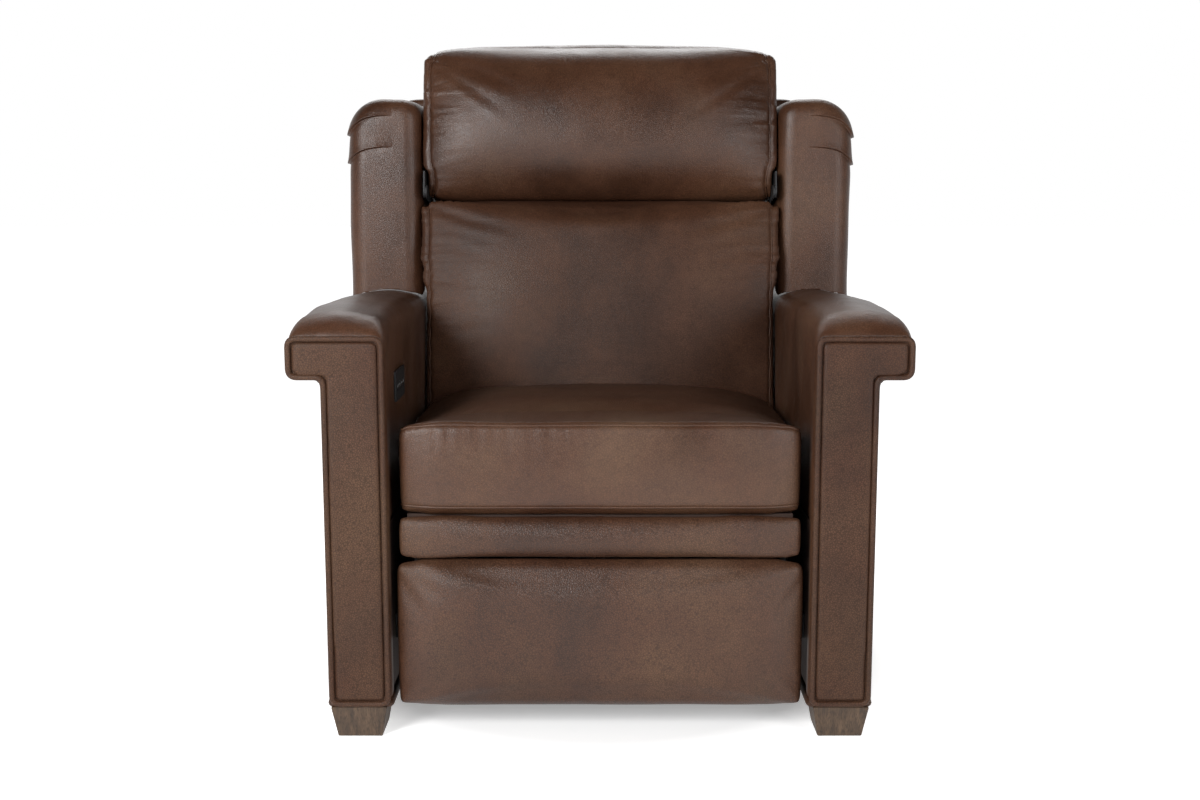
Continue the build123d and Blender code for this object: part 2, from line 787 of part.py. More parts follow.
def back_frame():
    """Timber frame of the back: posts, rails and the ribs that carry the outer back."""
    rear = back_post_front + back_post_depth
    post = back_block(lift_x - back_post_width, lift_x, back_post_front, rear, back_post_bottom,
                      back_post_top)
    low_rail = back_block(-lift_x, lift_x, back_post_front, rear, back_post_bottom,
                          back_post_bottom + back_rail_height)
    top_rail = back_block(-lift_x, lift_x, back_post_front, rear, back_post_top - back_rail_height,
                          back_post_top)
    middle = back_block(-lift_x, lift_x, rear - mid_rail_thickness, rear, mid_rail_low,
                        mid_rail_low + back_rail_height)
    return joined(post, other_side(post), low_rail, top_rail, middle, back_rib(), other_side(back_rib()))


def back_rib():
    """Side rib from the back post to the outer back."""
    rear = back_post_front + back_post_depth - 1
    low = back_point(rear, rib_low)
    high = back_point(rear, back_post_top - 10)
    outline = [low, (shell_face(0), low[1]), (shell_face(0), shell_bend_height),
               (shell_face(high[1]), high[1]), high]
    return side_prism(outline, lift_x - back_post_width / 2, lift_x)


def back_top_pad():
    """Padded leather top that closes the back between the wings, behind the headrest."""
    near = back_point(back_post_front, back_post_top)
    far = back_point(back_post_front + back_post_depth, back_post_top)
    rear = shell_top - top_pad_drop
    outline = [near, far, (shell_face(far[1]), far[1]), (shell_face(rear), rear),
               (near[0] + top_pad_ease, near[1] + top_pad_rise)]
    return side_prism(outline, -wing_inner, wing_inner)


def back_springs():
    """Sinuous springs up the back frame, leaving the middle free for the headrest actuator."""
    low = back_post_bottom + back_rail_height
    length = back_post_top - back_rail_height - low
    springs = []
    for step in (-2, -1, 1, 2):
        x = step * back_spring_pitch
        spring = Rot(90, 0, 0) * zigzag(length, spring_half_width, spring_waves, spring_wire)
        y = back_post_front + 2 * spring_wire
        springs.append(Pos(x, front + hinge_setback + y, hinge_height + low) * spring)
    return leaned(group(*springs))


# ---- headrest ----
def headrest_hinge():
    """Steel plate on the back frame that carries the headrest pivot."""
    y, z = head_pivot
    low = z - head_boss
    high = z + head_boss
    spacer = back_block(lift_x, head_plate_inner, head_spacer_front, head_bracket_rear, low, high)
    plate = back_block(head_plate_inner, head_plate_inner + head_plate, y, head_bracket_rear, low, high)
    nose = back_rod(head_plate_inner, head_plate_inner + head_plate, y, z, head_boss)
    pin = back_rod(head_plate_inner, head_plate_inner + 2 * head_plate + plate_gap, y, z, link_pin)
    return joined(spacer, plate, nose, pin)


def headrest_arm():
    """Steel arm from the headrest pivot back to the headrest board."""
    y, z = head_pivot
    x = head_plate_inner + head_plate + plate_gap
    board_rear = back_post_front - plate_gap
    board_front = board_rear - head_board
    low = z + head_arm_rise
    high = low + head_arm_width
    strip = back_block(x, x + head_plate, y, board_rear, low, high)
    nose = back_block(x, x + head_plate, y - head_boss, y + head_boss, z, high)
    boss = back_rod(x, x + head_plate, y, z, head_boss)
    tab = back_block(head_half_width, x + head_plate, board_front, board_rear, low, high)
    arm = joined(strip, nose, boss, tab)
    return arm - back_rod(x - 1, x + head_plate + 1, y, z, link_pin + pin_fit)


def headrest_board():
    """Board behind the headrest cushion, with the eye that the headrest rod pushes."""
    rear = back_post_front - plate_gap
    board = back_block(-head_half_width, head_half_width, rear - head_board, rear, head_board_low,
                       head_top - head_board_inset)
    return board + headrest_lug()


def headrest_lug():
    """Eye on the headrest board that the headrest rod pushes."""
    x = headrest_rod_x - actuator_rod - 2 - head_lug_plate
    y, z = head_eye
    near = hinge_setback + back_post_front - plate_gap
    height = hinge_height + head_board_low + head_lug_rise
    half = head_lug_width / 2
    ends = ((hinge_setback + y, hinge_height + z), (near + head_lug_depth, height))
    bar = link_bar(x, head_lug_plate, ends, head_lug_width, 1)
    bar = bar + block(x, x + head_lug_plate, near, near + head_lug_depth, height - half, height + half)
    hole = rod(x - 1, x + head_lug_plate + 1, hinge_setback + y, hinge_height + z,
               head_pin + head_eye_play)
    eye = rod(x, x + head_lug_plate, hinge_setback + y, hinge_height + z, head_boss)
    return leaned(bar + eye - hole)


def headrest_rod():
    """Rod of the headrest actuator with its cross pin."""
    y, z = head_eye
    y = y + head_eye_shift
    bar = Pos(headrest_rod_x, front + hinge_setback + y, hinge_height + z + 6 - headrest_rod_length / 2)
    bar = bar * Cylinder(actuator_rod, headrest_rod_length)
    pin = rod(headrest_rod_x - actuator_rod - 4 - head_lug_plate, headrest_rod_x, hinge_setback + y,
              hinge_height + z, head_pin)
    return leaned(bar + pin)


def headrest_actuator():
    """Headrest actuator on the middle rail of the back frame."""
    y = head_eye[0] + head_eye_shift
    top = head_eye[1] - headrest_tube_gap
    low = mid_rail_low + 20
    place = Pos(headrest_rod_x, front + hinge_setback + y, hinge_height)
    barrel = place * Pos(0, 0, (low + top) / 2) * Cylinder(actuator_rod + 4, top - low)
    left = headrest_rod_x - slim_gearbox_half
    right = headrest_rod_x + slim_gearbox_half
    gearbox = back_part(left, right, y - slim_gearbox_depth, mid_rail_front, low - slim_gearbox_length,
                        low + saddle_length / 4)
    saddle = back_part(headrest_rod_x - saddle_half, headrest_rod_x + saddle_half, y - bore_end,
                       mid_rail_front, low, low + saddle_length)
    motor = rod(left - slim_motor_length, left, hinge_setback + y, hinge_height + low - saddle_length,
                slim_motor_radius)
    bore_low = low - slim_gearbox_length + motor_radius
    bore = place * Pos(0, 0, (bore_low + top + 1) / 2) * Cylinder(actuator_rod + actuator_fit,
                                                                 top + 1 - bore_low)
    return leaned(joined(gearbox, barrel, saddle, motor) - bore)


def back_part(x0, x1, y0, y1, z0, z1):
    """A box in the back's frame, before it is leaned."""
    return block(x0, x1, hinge_setback + y0, hinge_setback + y1, hinge_height + z0, hinge_height + z1)


# ---- upholstery ----
def puffed(half_width, y0, y1, z0, z1, front_bulge, top_bulge, pull, back_bulge=0, bottom_bulge=0):
    """A boxed cushion: crowned face and top, and sides that draw in at the front and the top."""
    slices = []
    for across in (-1, -0.93, -0.6, 0, 0.6, 0.93, 1):
        x = half_width * across
        share = (1 - abs(across) ** 4) ** 0.75
        inset = pull * (1 - share) ** 2
        slices.append(soft_slice(x, y0 + inset, y1 - inset * 0.3, z0 + inset * 0.5, z1 - inset,
                                 front_bulge * (0.4 + 0.6 * share), top_bulge * (0.3 + 0.7 * share),
                                 back_bulge * share, bottom_bulge * share))
    return loft(slices)


def seat_cushion():
    return puffed(seat_half_width, seat_front + seat_face_bulge, seat_rear, seat_bottom, seat_top,
                  seat_face_bulge, seat_crown, cushion_pull)


def front_strip():
    """Narrow padded band under the seat cushion."""
    return puffed(strip_half_width, strip_front + strip_bulge, deck_front - fit, strip_bottom, strip_top,
                  strip_bulge, 0, 5)


def footrest_pad():
    """Padded leather face of the footrest."""
    return puffed(pad_half_width, pad_front + pad_bulge, pad_front + pad_thickness - fit, pad_bottom,
                  pad_top, pad_bulge, 0, 8)


def side_swell(inside, outside, y0, z0, z1):
    """Rounded swelling of a back cushion's side, above the arms and clear of the headrest's hinge."""
    swell = back_part(inside, outside, y0, swell_rear, z0, z1)
    return fillet(swell.faces().sort_by(Axis.X)[-1].edges(), outside - inside - 1)


def lumbar_cushion():
    rear = back_post_front - fit
    cushion = puffed(lumbar_half_width, hinge_setback + cushion_face, hinge_setback + rear,
                     hinge_height + lumbar_low, hinge_height + seam_height - seam_gap / 2,
                     lumbar_bulge, 2, cushion_pull)
    swell = side_swell(lumbar_half_width, lumbar_reach, cushion_face + 10, lumbar_swell_low,
                       seam_height - 12)
    return group(leaned(cushion), leaned(swell), leaned(other_side(swell)))


def headrest_cushion():
    rear = back_post_front - plate_gap - head_board - fit
    cushion = puffed(head_half_width, hinge_setback + head_face, hinge_setback + rear,
                     hinge_height + seam_height + seam_gap / 2, hinge_height + head_top - head_crown,
                     head_bulge, head_crown, cushion_pull)
    swell = side_swell(head_half_width, head_reach, head_face + 6, head_swell_low, head_top - 34)
    return group(leaned(cushion), leaned(swell), leaned(other_side(swell)))


# ---- switch panel and power ----
def panel_pocket():
    """Room in the arm cover for the switch panel's housing."""
    return panel_housing(arm_inner - 1)


def panel_housing(inside):
    """The housing behind the switch plate, from the given x outward."""
    return block(inside, arm_inner + panel_depth, panel_setback + panel_lip,
                 panel_setback + panel_length - panel_lip, panel_low + panel_lip,
                 panel_low + panel_height - panel_lip)


def button_place(index):
    """Setback of one button along the panel."""
    middle = panel_setback + panel_length / 2
    return middle + (index - (button_count - 1) / 2) * button_spacing


def switch_panel():
    """Switch plate on the inside of the right arm, with its housing and button wells."""
    plate = block(arm_inner - panel_proud, arm_inner, panel_setback, panel_setback + panel_length,
                  panel_low, panel_low + panel_height)
    panel = plate + panel_housing(arm_inner)
    middle = panel_low + panel_height / 2
    for index in range(button_count):
        panel = panel - rod(arm_inner - panel_proud - 1, button_floor + button_travel + fit,
                            button_place(index), middle, button_radius + fit)
    return other_side(panel)


def button(index):
    """One push button of the switch panel."""
    middle = panel_low + panel_height / 2
    cap = rod(arm_inner - panel_proud - button_proud, button_floor, button_place(index), middle,
              button_radius)
    return other_side(fillet(cap.edges().filter_by(GeomType.CIRCLE).sort_by(Axis.X)[:1], 1))


def power_supply():
    """Power box that lies on the rear cross tube."""
    low = base_tube_height + tube
    body = block(supply_left, supply_right, base_tube_rear - supply_front_overhang,
                 base_tube_rear + tube + supply_rear_overhang, low,
                 low + supply_height)
    return fillet(body.edges().filter_by(Axis.Z), supply_corner)


def inlet_body(rear):
    """Block of the power inlet, from the rear board's inner face to the given setback."""
    return block(inlet_x - inlet_half_width, inlet_x + inlet_half_width, arm_length - rear_panel, rear,
                 inlet_height - inlet_half_height, inlet_height + inlet_half_height)


def power_inlet():
    """Inlet socket in the rear board."""
    rear = arm_length + inlet_proud
    socket = block(inlet_x - socket_half_width, inlet_x + socket_half_width,
                   arm_length - rear_panel + socket_floor, rear + 1, inlet_height - socket_half_height,
                   inlet_height + socket_half_height)
    return inlet_body(rear) - socket


# ---- every node by name ----
def all_nodes():
    nodes = {
        "arm_frame_left": arm_frame(),
        "arm_frame_right": other_side(arm_frame()),
        "arm_cover_left": arm_cover(False),
        "arm_cover_right": other_side(arm_cover(True)),
        "arm_facing_left": arm_facing(),
        "arm_facing_right": other_side(arm_facing()),
        "front_foot_left": foot(foot_setback),
        "front_foot_right": other_side(foot(foot_setback)),
        "rear_foot_left": foot(arm_length - rear_foot_setback - foot_top),
        "rear_foot_right": other_side(foot(arm_length - rear_foot_setback - foot_top)),
        "front_cross_tube": square_tube(base_tube_front, base_tube_height, arm_inner),
        "rear_cross_tube": square_tube(base_tube_rear, base_tube_height, arm_inner),
        "rear_board": rear_board(),
        "track_left": track(),
        "track_right": other_side(track()),
        "recline_actuator": recline_actuator(),
        "power_supply": power_supply(),
        "power_inlet": power_inlet(),
        "switch_panel": switch_panel(),
        "side_plate_left": side_plate_left(),
        "side_plate_right": other_side(side_plate_left()),
        "carriage_cross_tube": square_tube(carriage_tube_setback, carriage_tube_bottom, side_plate_inner),
        "seat_frame": seat_frame(),
        "seat_springs": seat_springs(),
        "seat_cushion": seat_cushion(),
        "front_strip": front_strip(),
        "recline_rod": recline_rod(),
        "footrest_actuator": footrest_actuator(),
        "footrest_rod": footrest_rod(),
        "footrest_crank": footrest_crank(),
        "control_links": control_links(),
        "reach_links": reach_links(),
        "footrest_brackets": pair(footrest_bracket()),
        "footrest_board": footrest_board(),
        "footrest_pad": footrest_pad(),
        "back_bracket_left": back_bracket(),
        "back_bracket_right": other_side(back_bracket()),
        "back_frame": back_frame(),
        "back_springs": back_springs(),
        "outer_back": outer_back(),
        "back_top_pad": back_top_pad(),
        "wing_left": wing(),
        "wing_right": other_side(wing()),
        "lumbar_cushion": lumbar_cushion(),
        "headrest_hinges": pair(headrest_hinge()),
        "headrest_actuator": headrest_actuator(),
        "headrest_rod": headrest_rod(),
        "headrest_arms": pair(headrest_arm()),
        "headrest_board": headrest_board(),
        "headrest_cushion": headrest_cushion(),
    }
    for index in range(2):
        end = ("front", "rear")[index]
        nodes[f"{end}_roller_left"] = roller(index)
        nodes[f"{end}_roller_right"] = other_side(roller(index))
    for index in range(button_count):
        nodes[f"button_{index + 1}"] = button(index)
    return nodes


os.makedirs("parts", exist_ok=True)
for name, shape in all_nodes().items():
    export_step(shape, f"parts/{name}.step")
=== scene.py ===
"""Power wall-hugger recliner: leather upholstery, oak feet and steel mechanism over the fixed frame."""
import json
import math

import bmesh
import bpy
import numpy as np
from mathutils import Matrix, Vector, noise
from mathutils.bvhtree import BVHTree
from mathutils.kdtree import KDTree


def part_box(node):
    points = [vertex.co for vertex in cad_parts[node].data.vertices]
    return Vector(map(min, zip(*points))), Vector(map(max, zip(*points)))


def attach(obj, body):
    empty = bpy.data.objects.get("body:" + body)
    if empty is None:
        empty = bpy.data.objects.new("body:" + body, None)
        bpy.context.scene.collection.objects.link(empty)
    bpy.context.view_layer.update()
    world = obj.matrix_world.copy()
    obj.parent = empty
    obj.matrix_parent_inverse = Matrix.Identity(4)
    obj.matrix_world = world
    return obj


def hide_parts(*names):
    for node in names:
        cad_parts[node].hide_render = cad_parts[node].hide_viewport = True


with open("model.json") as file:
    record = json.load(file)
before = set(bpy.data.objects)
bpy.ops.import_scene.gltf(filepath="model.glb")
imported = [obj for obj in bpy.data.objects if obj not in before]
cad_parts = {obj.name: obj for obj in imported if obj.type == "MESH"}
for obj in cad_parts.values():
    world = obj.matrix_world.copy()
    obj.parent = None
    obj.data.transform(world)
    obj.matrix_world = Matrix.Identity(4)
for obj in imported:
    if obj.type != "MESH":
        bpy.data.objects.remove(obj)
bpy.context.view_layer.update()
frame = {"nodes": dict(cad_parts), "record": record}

# ---- sizes shared with the frame, in metres ----
front = -0.480              # plane of the arm facings
arm_inner = 0.327
facing_inner = arm_inner - 0.004    # the facing rolls a little over the seat side
arm_outer = 0.419
cap_outer = 0.471           # outer edge of the arm's overhanging top
cap_underside = 0.560
facing_top = 0.627
facing_bottom = 0.050
arm_rear = 0.383
hinge = Vector((0.0, 0.188, 0.330))         # pivot of the back
rake = math.radians(10)                     # lean of the back at rest
wing_front = 0.110
wing_inner = 0.334
wing_outer = 0.472
recline_slope = math.tan(math.radians(24))  # the wing's underside clears the arm as the back leans

# ---- the cushions' outlines, in metres ----
seat_half = 0.3258
seat_low = 0.3475
band_half = 0.3090
band_low = 0.2800
band_high = 0.3470
pad_half = 0.3140
pad_low = 0.0430
pad_high = 0.2785
lumbar_rear = -0.0463       # the back cushions are measured from the hinge, in the back's own frame
lumbar_half = 0.3262        # between the arms
lumbar_bulge = 0.0095       # how much further it reaches above the arms
lumbar_top = 0.4738
head_rear = -0.0588
head_low = 0.4744
head_high = 0.7700
head_half = 0.3225          # beside the headrest's steel arms
head_bulge = 0.009          # how much further it reaches above them


# ---- finishes ----
def finish(name, roughness=0.5, metallic=0.0):
    """A new material with its node tree and shader."""
    material = bpy.data.materials.new(name)
    material.use_nodes = True
    tree = material.node_tree
    shader = tree.nodes["Principled BSDF"]
    shader.inputs["Roughness"].default_value = roughness
    shader.inputs["Metallic"].default_value = metallic
    return material, tree, shader


def node(tree, kind, **settings):
    """A node whose sockets and options are set by name."""
    made = tree.nodes.new(kind)
    for key, value in settings.items():
        if key in made.inputs:
            made.inputs[key].default_value = value
        else:
            setattr(made, key, value)
    return made


def grain_noise(tree, place, scale, detail=4.0, stretch=(1, 1, 1)):
    """Noise on the piece's own coordinates, stretched along its grain."""
    mapping = node(tree, "ShaderNodeMapping")
    mapping.inputs["Scale"].default_value = stretch
    tree.links.new(place.outputs["Object"], mapping.inputs["Vector"])
    pattern = node(tree, "ShaderNodeTexNoise", Scale=scale, Detail=detail)
    tree.links.new(mapping.outputs["Vector"], pattern.inputs["Vector"])
    return pattern.outputs["Fac"]


def ramp(tree, source, stops):
    """A colour ramp over a value, from (position, colour) stops."""
    made = tree.nodes.new("ShaderNodeValToRGB")
    elements = made.color_ramp.elements
    while len(elements) < len(stops):
        elements.new(0.5)
    for element, (position, colour) in zip(elements, stops):
        element.position = position
        element.color = (*colour, 1)
    tree.links.new(source, made.inputs["Fac"])
    return made.outputs["Color"]


def grey_ramp(tree, source, low, high, start=0.3, end=0.7):
    """A value spread between two limits."""
    made = tree.nodes.new("ShaderNodeMapRange")
    made.inputs["From Min"].default_value = start
    made.inputs["From Max"].default_value = end
    made.inputs["To Min"].default_value = low
    made.inputs["To Max"].default_value = high
    tree.links.new(source, made.inputs["Value"])
    return made.outputs["Result"]


def blend_colours(tree, kind, share, first, second):
    """Two colours mixed by a share, which is a number or another node's value."""
    made = tree.nodes.new("ShaderNodeMix")
    made.data_type = "RGBA"
    made.blend_type = kind
    for socket, value in ((0, share), (6, first), (7, second)):
        if hasattr(value, "is_output"):
            tree.links.new(value, made.inputs[socket])
        else:
            made.inputs[socket].default_value = value
    return made.outputs[2]


def bumps(tree, shader, layers):
    """Relief from (value, height in metres) layers, one over the other."""
    normal = None
    for value, height in layers:
        bump = node(tree, "ShaderNodeBump", Strength=1.0, Distance=height)
        tree.links.new(value, bump.inputs["Height"])
        if normal is not None:
            tree.links.new(normal, bump.inputs["Normal"])
        normal = bump.outputs["Normal"]
    tree.links.new(normal, shader.inputs["Normal"])


def leather(name, pebble, cell, shade=1.0, red_share=0.50, rough=(0.34, 0.50), relief=0.0003, gloss=0.38):
    """Pull-up leather: brown with reddish and olive patches, pebbled grain, satin finish.

    pebble is the strength of the grain and cell its size; relief is the height of the soft wrinkles.
    """
    crease_depth = 0.00025
    fine_depth = 0.0001
    warp_reach = 0.004
    material, tree, shader = finish(name)
    place = node(tree, "ShaderNodeTexCoord")
    broad = grain_noise(tree, place, scale=3.2, detail=3.0)
    patch = grain_noise(tree, place, scale=9.0, detail=5.0, stretch=(1.0, 1.3, 0.8))
    mottle = grain_noise(tree, place, scale=60.0, detail=4.0)
    # shade scales the whole colour; set per part below, it is painted light and shade
    deep = tuple(shade * c for c in (0.041, 0.0165, 0.0082))
    red = tuple(shade * c for c in (0.073, 0.0305, 0.0155))
    olive = tuple(shade * c for c in (0.098, 0.0495, 0.0265))
    colour = ramp(tree, broad, [(red_share - 0.12, deep), (red_share, red), (red_share + 0.14, olive)])
    patches = ramp(tree, patch, [(red_share - 0.16, deep), (red_share, red), (red_share + 0.2, olive)])
    colour = blend_colours(tree, "MIX", 0.5, colour, patches)
    fleck = ramp(tree, mottle, [(0.25, (0.80, 0.78, 0.76)), (0.75, (1.18, 1.18, 1.18))])
    colour = blend_colours(tree, "MULTIPLY", 0.55, colour, fleck)
    warp = grain_noise(tree, place, scale=110.0, detail=2.0)
    shift = node(tree, "ShaderNodeVectorMath", operation="SCALE")
    tree.links.new(warp, shift.inputs[0])
    shift.inputs["Scale"].default_value = warp_reach
    moved = node(tree, "ShaderNodeVectorMath", operation="ADD")
    tree.links.new(place.outputs["Object"], moved.inputs[0])
    tree.links.new(shift.outputs["Vector"], moved.inputs[1])
    cells = node(tree, "ShaderNodeTexVoronoi", Scale=1.0 / cell, Randomness=1.0,
                 feature="DISTANCE_TO_EDGE")
    tree.links.new(moved.outputs["Vector"], cells.inputs["Vector"])
    crease = grey_ramp(tree, cells.outputs["Distance"], low=0.0, high=1.0, start=0.02, end=0.30)
    shades = ramp(tree, crease, [(0.0, (0.38, 0.35, 0.33)), (0.5, (1.0, 1.0, 1.0)),
                                 (1.0, (1.12, 1.12, 1.12))])
    colour = blend_colours(tree, "MULTIPLY", pebble, colour, shades)
    tree.links.new(colour, shader.inputs["Base Color"])
    sheen = grey_ramp(tree, patch, *rough)
    tree.links.new(sheen, shader.inputs["Roughness"])
    shader.inputs["Specular IOR Level"].default_value = gloss
    fine = grain_noise(tree, place, scale=800.0, detail=3.0)
    wrinkle = grain_noise(tree, place, scale=38.0, detail=3.0)
    bumps(tree, shader, [(wrinkle, relief), (crease, crease_depth * pebble), (fine, fine_depth)])
    return material


def oak():
    """Weathered grey-brown oak with upright grain and open pores."""
    material, tree, shader = finish("weathered_oak", 0.62)
    place = node(tree, "ShaderNodeTexCoord")
    grain = grain_noise(tree, place, scale=14.0, detail=6.0, stretch=(9, 9, 0.7))
    pores = grain_noise(tree, place, scale=60.0, detail=4.0, stretch=(12, 12, 0.6))
    colour = ramp(tree, grain, [(0.28, (0.033, 0.019, 0.010)), (0.5, (0.071, 0.041, 0.022)),
                                (0.72, (0.118, 0.074, 0.043))])
    dark = ramp(tree, pores, [(0.38, (0.35, 0.32, 0.3)), (0.52, (1.0, 1.0, 1.0))])
    colour = blend_colours(tree, "MULTIPLY", 0.8, colour, dark)
    tree.links.new(colour, shader.inputs["Base Color"])
    bumps(tree, shader, [(grain, 0.0008), (pores, 0.0006)])
    return material


def timber():
    """Pale frame timber and plywood."""
    material, tree, shader = finish("frame_timber", 0.7)
    place = node(tree, "ShaderNodeTexCoord")
    grain = grain_noise(tree, place, scale=10.0, detail=5.0, stretch=(1, 8, 8))
    colour = ramp(tree, grain, [(0.3, (0.34, 0.21, 0.11)), (0.7, (0.58, 0.42, 0.26))])
    tree.links.new(colour, shader.inputs["Base Color"])
    bumps(tree, shader, [(grain, 0.0005)])
    return material


def coated(name, low, high, roughness, metallic=0.0, speckle=500.0, depth=0.0002):
    """Painted steel, moulded plastic or bare metal: two close shades under a fine texture."""
    material, tree, shader = finish(name, roughness, metallic)
    place = node(tree, "ShaderNodeTexCoord")
    broad = grain_noise(tree, place, scale=12.0, detail=5.0)
    fine = grain_noise(tree, place, speckle, detail=3.0)
    colour = ramp(tree, broad, [(0.3, low), (0.7, high)])
    tree.links.new(colour, shader.inputs["Base Color"])
    tree.links.new(grey_ramp(tree, broad, roughness - 0.08, roughness + 0.1), shader.inputs["Roughness"])
    bumps(tree, shader, [(fine, depth)])
    return material


finishes = {
    # shade 1.12 makes the arms, wings and outer back lighter than the seat: painted light
    "leather": leather("leather", pebble=0.55, cell=0.0034, shade=1.12, relief=0.0002),
    "leather_pebbled": leather("pebbled_leather", pebble=0.85, cell=0.0033, shade=1.01, rough=(0.42, 0.54),
                               relief=0.0001),
    "foot_wood": oak(),
    "frame_timber": timber(),
    "black_steel": coated("black_steel", (0.008, 0.008, 0.009), (0.018, 0.018, 0.019), roughness=0.62),
    "spring_steel": coated("spring_steel", (0.035, 0.034, 0.033), (0.06, 0.059, 0.057), roughness=0.5,
                           metallic=0.6, speckle=900, depth=0.00005),
    "black_plastic": coated("black_plastic", (0.007, 0.007, 0.008), (0.014, 0.014, 0.015), roughness=0.62,
                            speckle=1200),
    "roller_nylon": coated("roller_nylon", (0.55, 0.54, 0.5), (0.68, 0.67, 0.62), roughness=0.5, speckle=700,
                           depth=0.0001),
    "button_metal": coated("button_metal", (0.10, 0.10, 0.10), (0.16, 0.16, 0.16), roughness=0.4,
                           metallic=1.0, speckle=900, depth=0.00004),
}
# These leathers differ in tone (red_share) and finish; their shade values are painted light, set to the
# light on each part
seat_leather = leather("seat_leather", pebble=0.55, cell=0.0034, shade=1.0, red_share=0.47)
back_leather = leather("back_leather", pebble=0.55, cell=0.0034, shade=1.04, red_share=0.55,
                       rough=(0.32, 0.46))
lumbar_leather = leather("lumbar_leather", pebble=0.55, cell=0.0034, shade=1.05, red_share=0.56,
                         rough=(0.44, 0.56), relief=0.0002, gloss=0.26)
# the facings' pebbled leather in its own tone, darkened by shade 0.86 as painted shade
facing_leather_painted_shade = leather("facing_leather_painted_shade", pebble=0.85, cell=0.0032, shade=0.86, red_share=0.48,
                         rough=(0.46, 0.58), relief=0.0001, gloss=0.24)
thread = coated("waxed_thread", (0.028, 0.014, 0.009), (0.055, 0.030, 0.020), roughness=0.5, speckle=3000,
                depth=0.0001)
slot_of = {row["node"]: row["material_slot"] for row in frame["record"]["subparts"]}


def dress(piece, slot, material=None):
    """Gives a piece its finish."""
    piece.data.materials.clear()
    piece.data.materials.append(material or finishes[slot])
    return piece


lining = coated("dark_lining", (0.030, 0.014, 0.009), (0.044, 0.021, 0.013), roughness=0.7, speckle=1500)
lined = ("arm_frame_left", "arm_frame_right", "seat_frame", "footrest_board", "back_frame")
for name, piece in frame["nodes"].items():
    piece.data.materials.clear()
    piece.data.materials.append(lining if name in lined else finishes[slot_of[name]])
frame["nodes"]["headrest_board"].data.materials[0] = back_leather


# ---- mesh helpers ----
path_step = 0.002           # between the points of a seam


def new_piece(name, mesh, body, slot, material=None):
    """Adds a finished mesh to the scene, riding on its body."""
    piece = bpy.data.objects.new(name, mesh)
    bpy.context.collection.objects.link(piece)
    mesh.name = name
    dress(piece, slot, material)
    for polygon in mesh.polygons:
        polygon.use_smooth = True
    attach(piece, body)
    return piece


def evaluated(piece):
    """The piece's mesh with its modifiers applied, as a new mesh."""
    bpy.context.view_layer.update()
    graph = bpy.context.evaluated_depsgraph_get()
    return bpy.data.meshes.new_from_object(piece.evaluated_get(graph))


def points_of(mesh):
    """The mesh's points, as rows of x, y and z."""
    flat = np.empty(len(mesh.vertices) * 3)
    mesh.vertices.foreach_get("co", flat)
    return flat.reshape(-1, 3)


def normals_of(mesh):
    """The mesh's outward directions at its points, in rows."""
    flat = np.empty(len(mesh.vertices) * 3)
    mesh.vertices.foreach_get("normal", flat)
    return flat.reshape(-1, 3)


def put_points(mesh, points):
    """Moves the mesh's points."""
    mesh.vertices.foreach_set("co", points.reshape(-1))
    mesh.update()


def merged_copy(nodes):
    """Scratch object with the named frame pieces' meshes, merged into closed shells."""
    shape = bmesh.new()
    for name in nodes:
        shape.from_mesh(frame["nodes"][name].data)
    bmesh.ops.remove_doubles(shape, verts=shape.verts, dist=1e-5)
    mesh = bpy.data.meshes.new("scratch")
    shape.to_mesh(mesh)
    shape.free()
    scratch = bpy.data.objects.new("scratch", mesh)
    bpy.context.collection.objects.link(scratch)
    return scratch


def even_mesh(scratch, voxel, rounds):
    """Replaces a scratch object's mesh by an even one with softened edges."""
    remesh = scratch.modifiers.new("even", "REMESH")
    remesh.mode = "VOXEL"
    remesh.voxel_size = voxel
    scratch.data = evaluated(scratch)
    scratch.modifiers.clear()
    soften(scratch.data, rounds)


def soften(mesh, rounds):
    """Evens out a mesh by moving each point towards its neighbours."""
    shape = bmesh.new()
    shape.from_mesh(mesh)
    for _ in range(rounds):
        bmesh.ops.smooth_vert(shape, verts=shape.verts, factor=0.5, use_axis_x=True, use_axis_y=True,
                              use_axis_z=True)
    shape.to_mesh(mesh)
    shape.free()


def subdivided(scratch):
    """One level of subdivision, applied."""
    divide = scratch.modifiers.new("divide", "SUBSURF")
    divide.levels = 1
    divide.render_levels = 1
    scratch.data = evaluated(scratch)
    scratch.modifiers.clear()


def tree_of(points):
    """A search tree over some points."""
    tree = KDTree(len(points))
    for index, point in enumerate(points):
        tree.insert(point, index)
    tree.balance()
    return tree


def dense(path):
    """Points every couple of millimetres along a closed path."""
    ends = list(path) + [path[0]]
    out = []
    for a, b in zip(ends, ends[1:]):
        count = max(1, int((b - a).length / path_step))
        out += [a.lerp(b, i / count) for i in range(count)]
    return out


def rounded_loop(corners, radius, steps=6):
    """A closed path through corners, each rounded by the radius."""
    out = []
    count = len(corners)
    for index, corner in enumerate(corners):
        before = (corners[index - 1] - corner).normalized() * radius
        after = (corners[(index + 1) % count] - corner).normalized() * radius
        for step in range(steps + 1):
            t = step / steps
            a = (corner + before).lerp(corner, t)
            b = corner.lerp(corner + after, t)
            out.append(a.lerp(b, t))
    return out


def piping(name, path, radius, body, slot="leather", material=None, sides=3):
    """A round welt along a closed path."""
    curve = bpy.data.curves.new(name, "CURVE")
    curve.dimensions = "3D"
    curve.bevel_depth = radius
    curve.bevel_resolution = sides
    spline = curve.splines.new("POLY")
    spline.points.add(len(path) - 1)
    for point, place in zip(spline.points, path):
        point.co = (*place, 1)
    spline.use_cyclic_u = True
    scratch = bpy.data.objects.new(name, curve)
    bpy.context.collection.objects.link(scratch)
    mesh = evaluated(scratch)
    bpy.data.objects.remove(scratch)
    bpy.data.curves.remove(curve)
    return new_piece(name, mesh, body, slot, material)


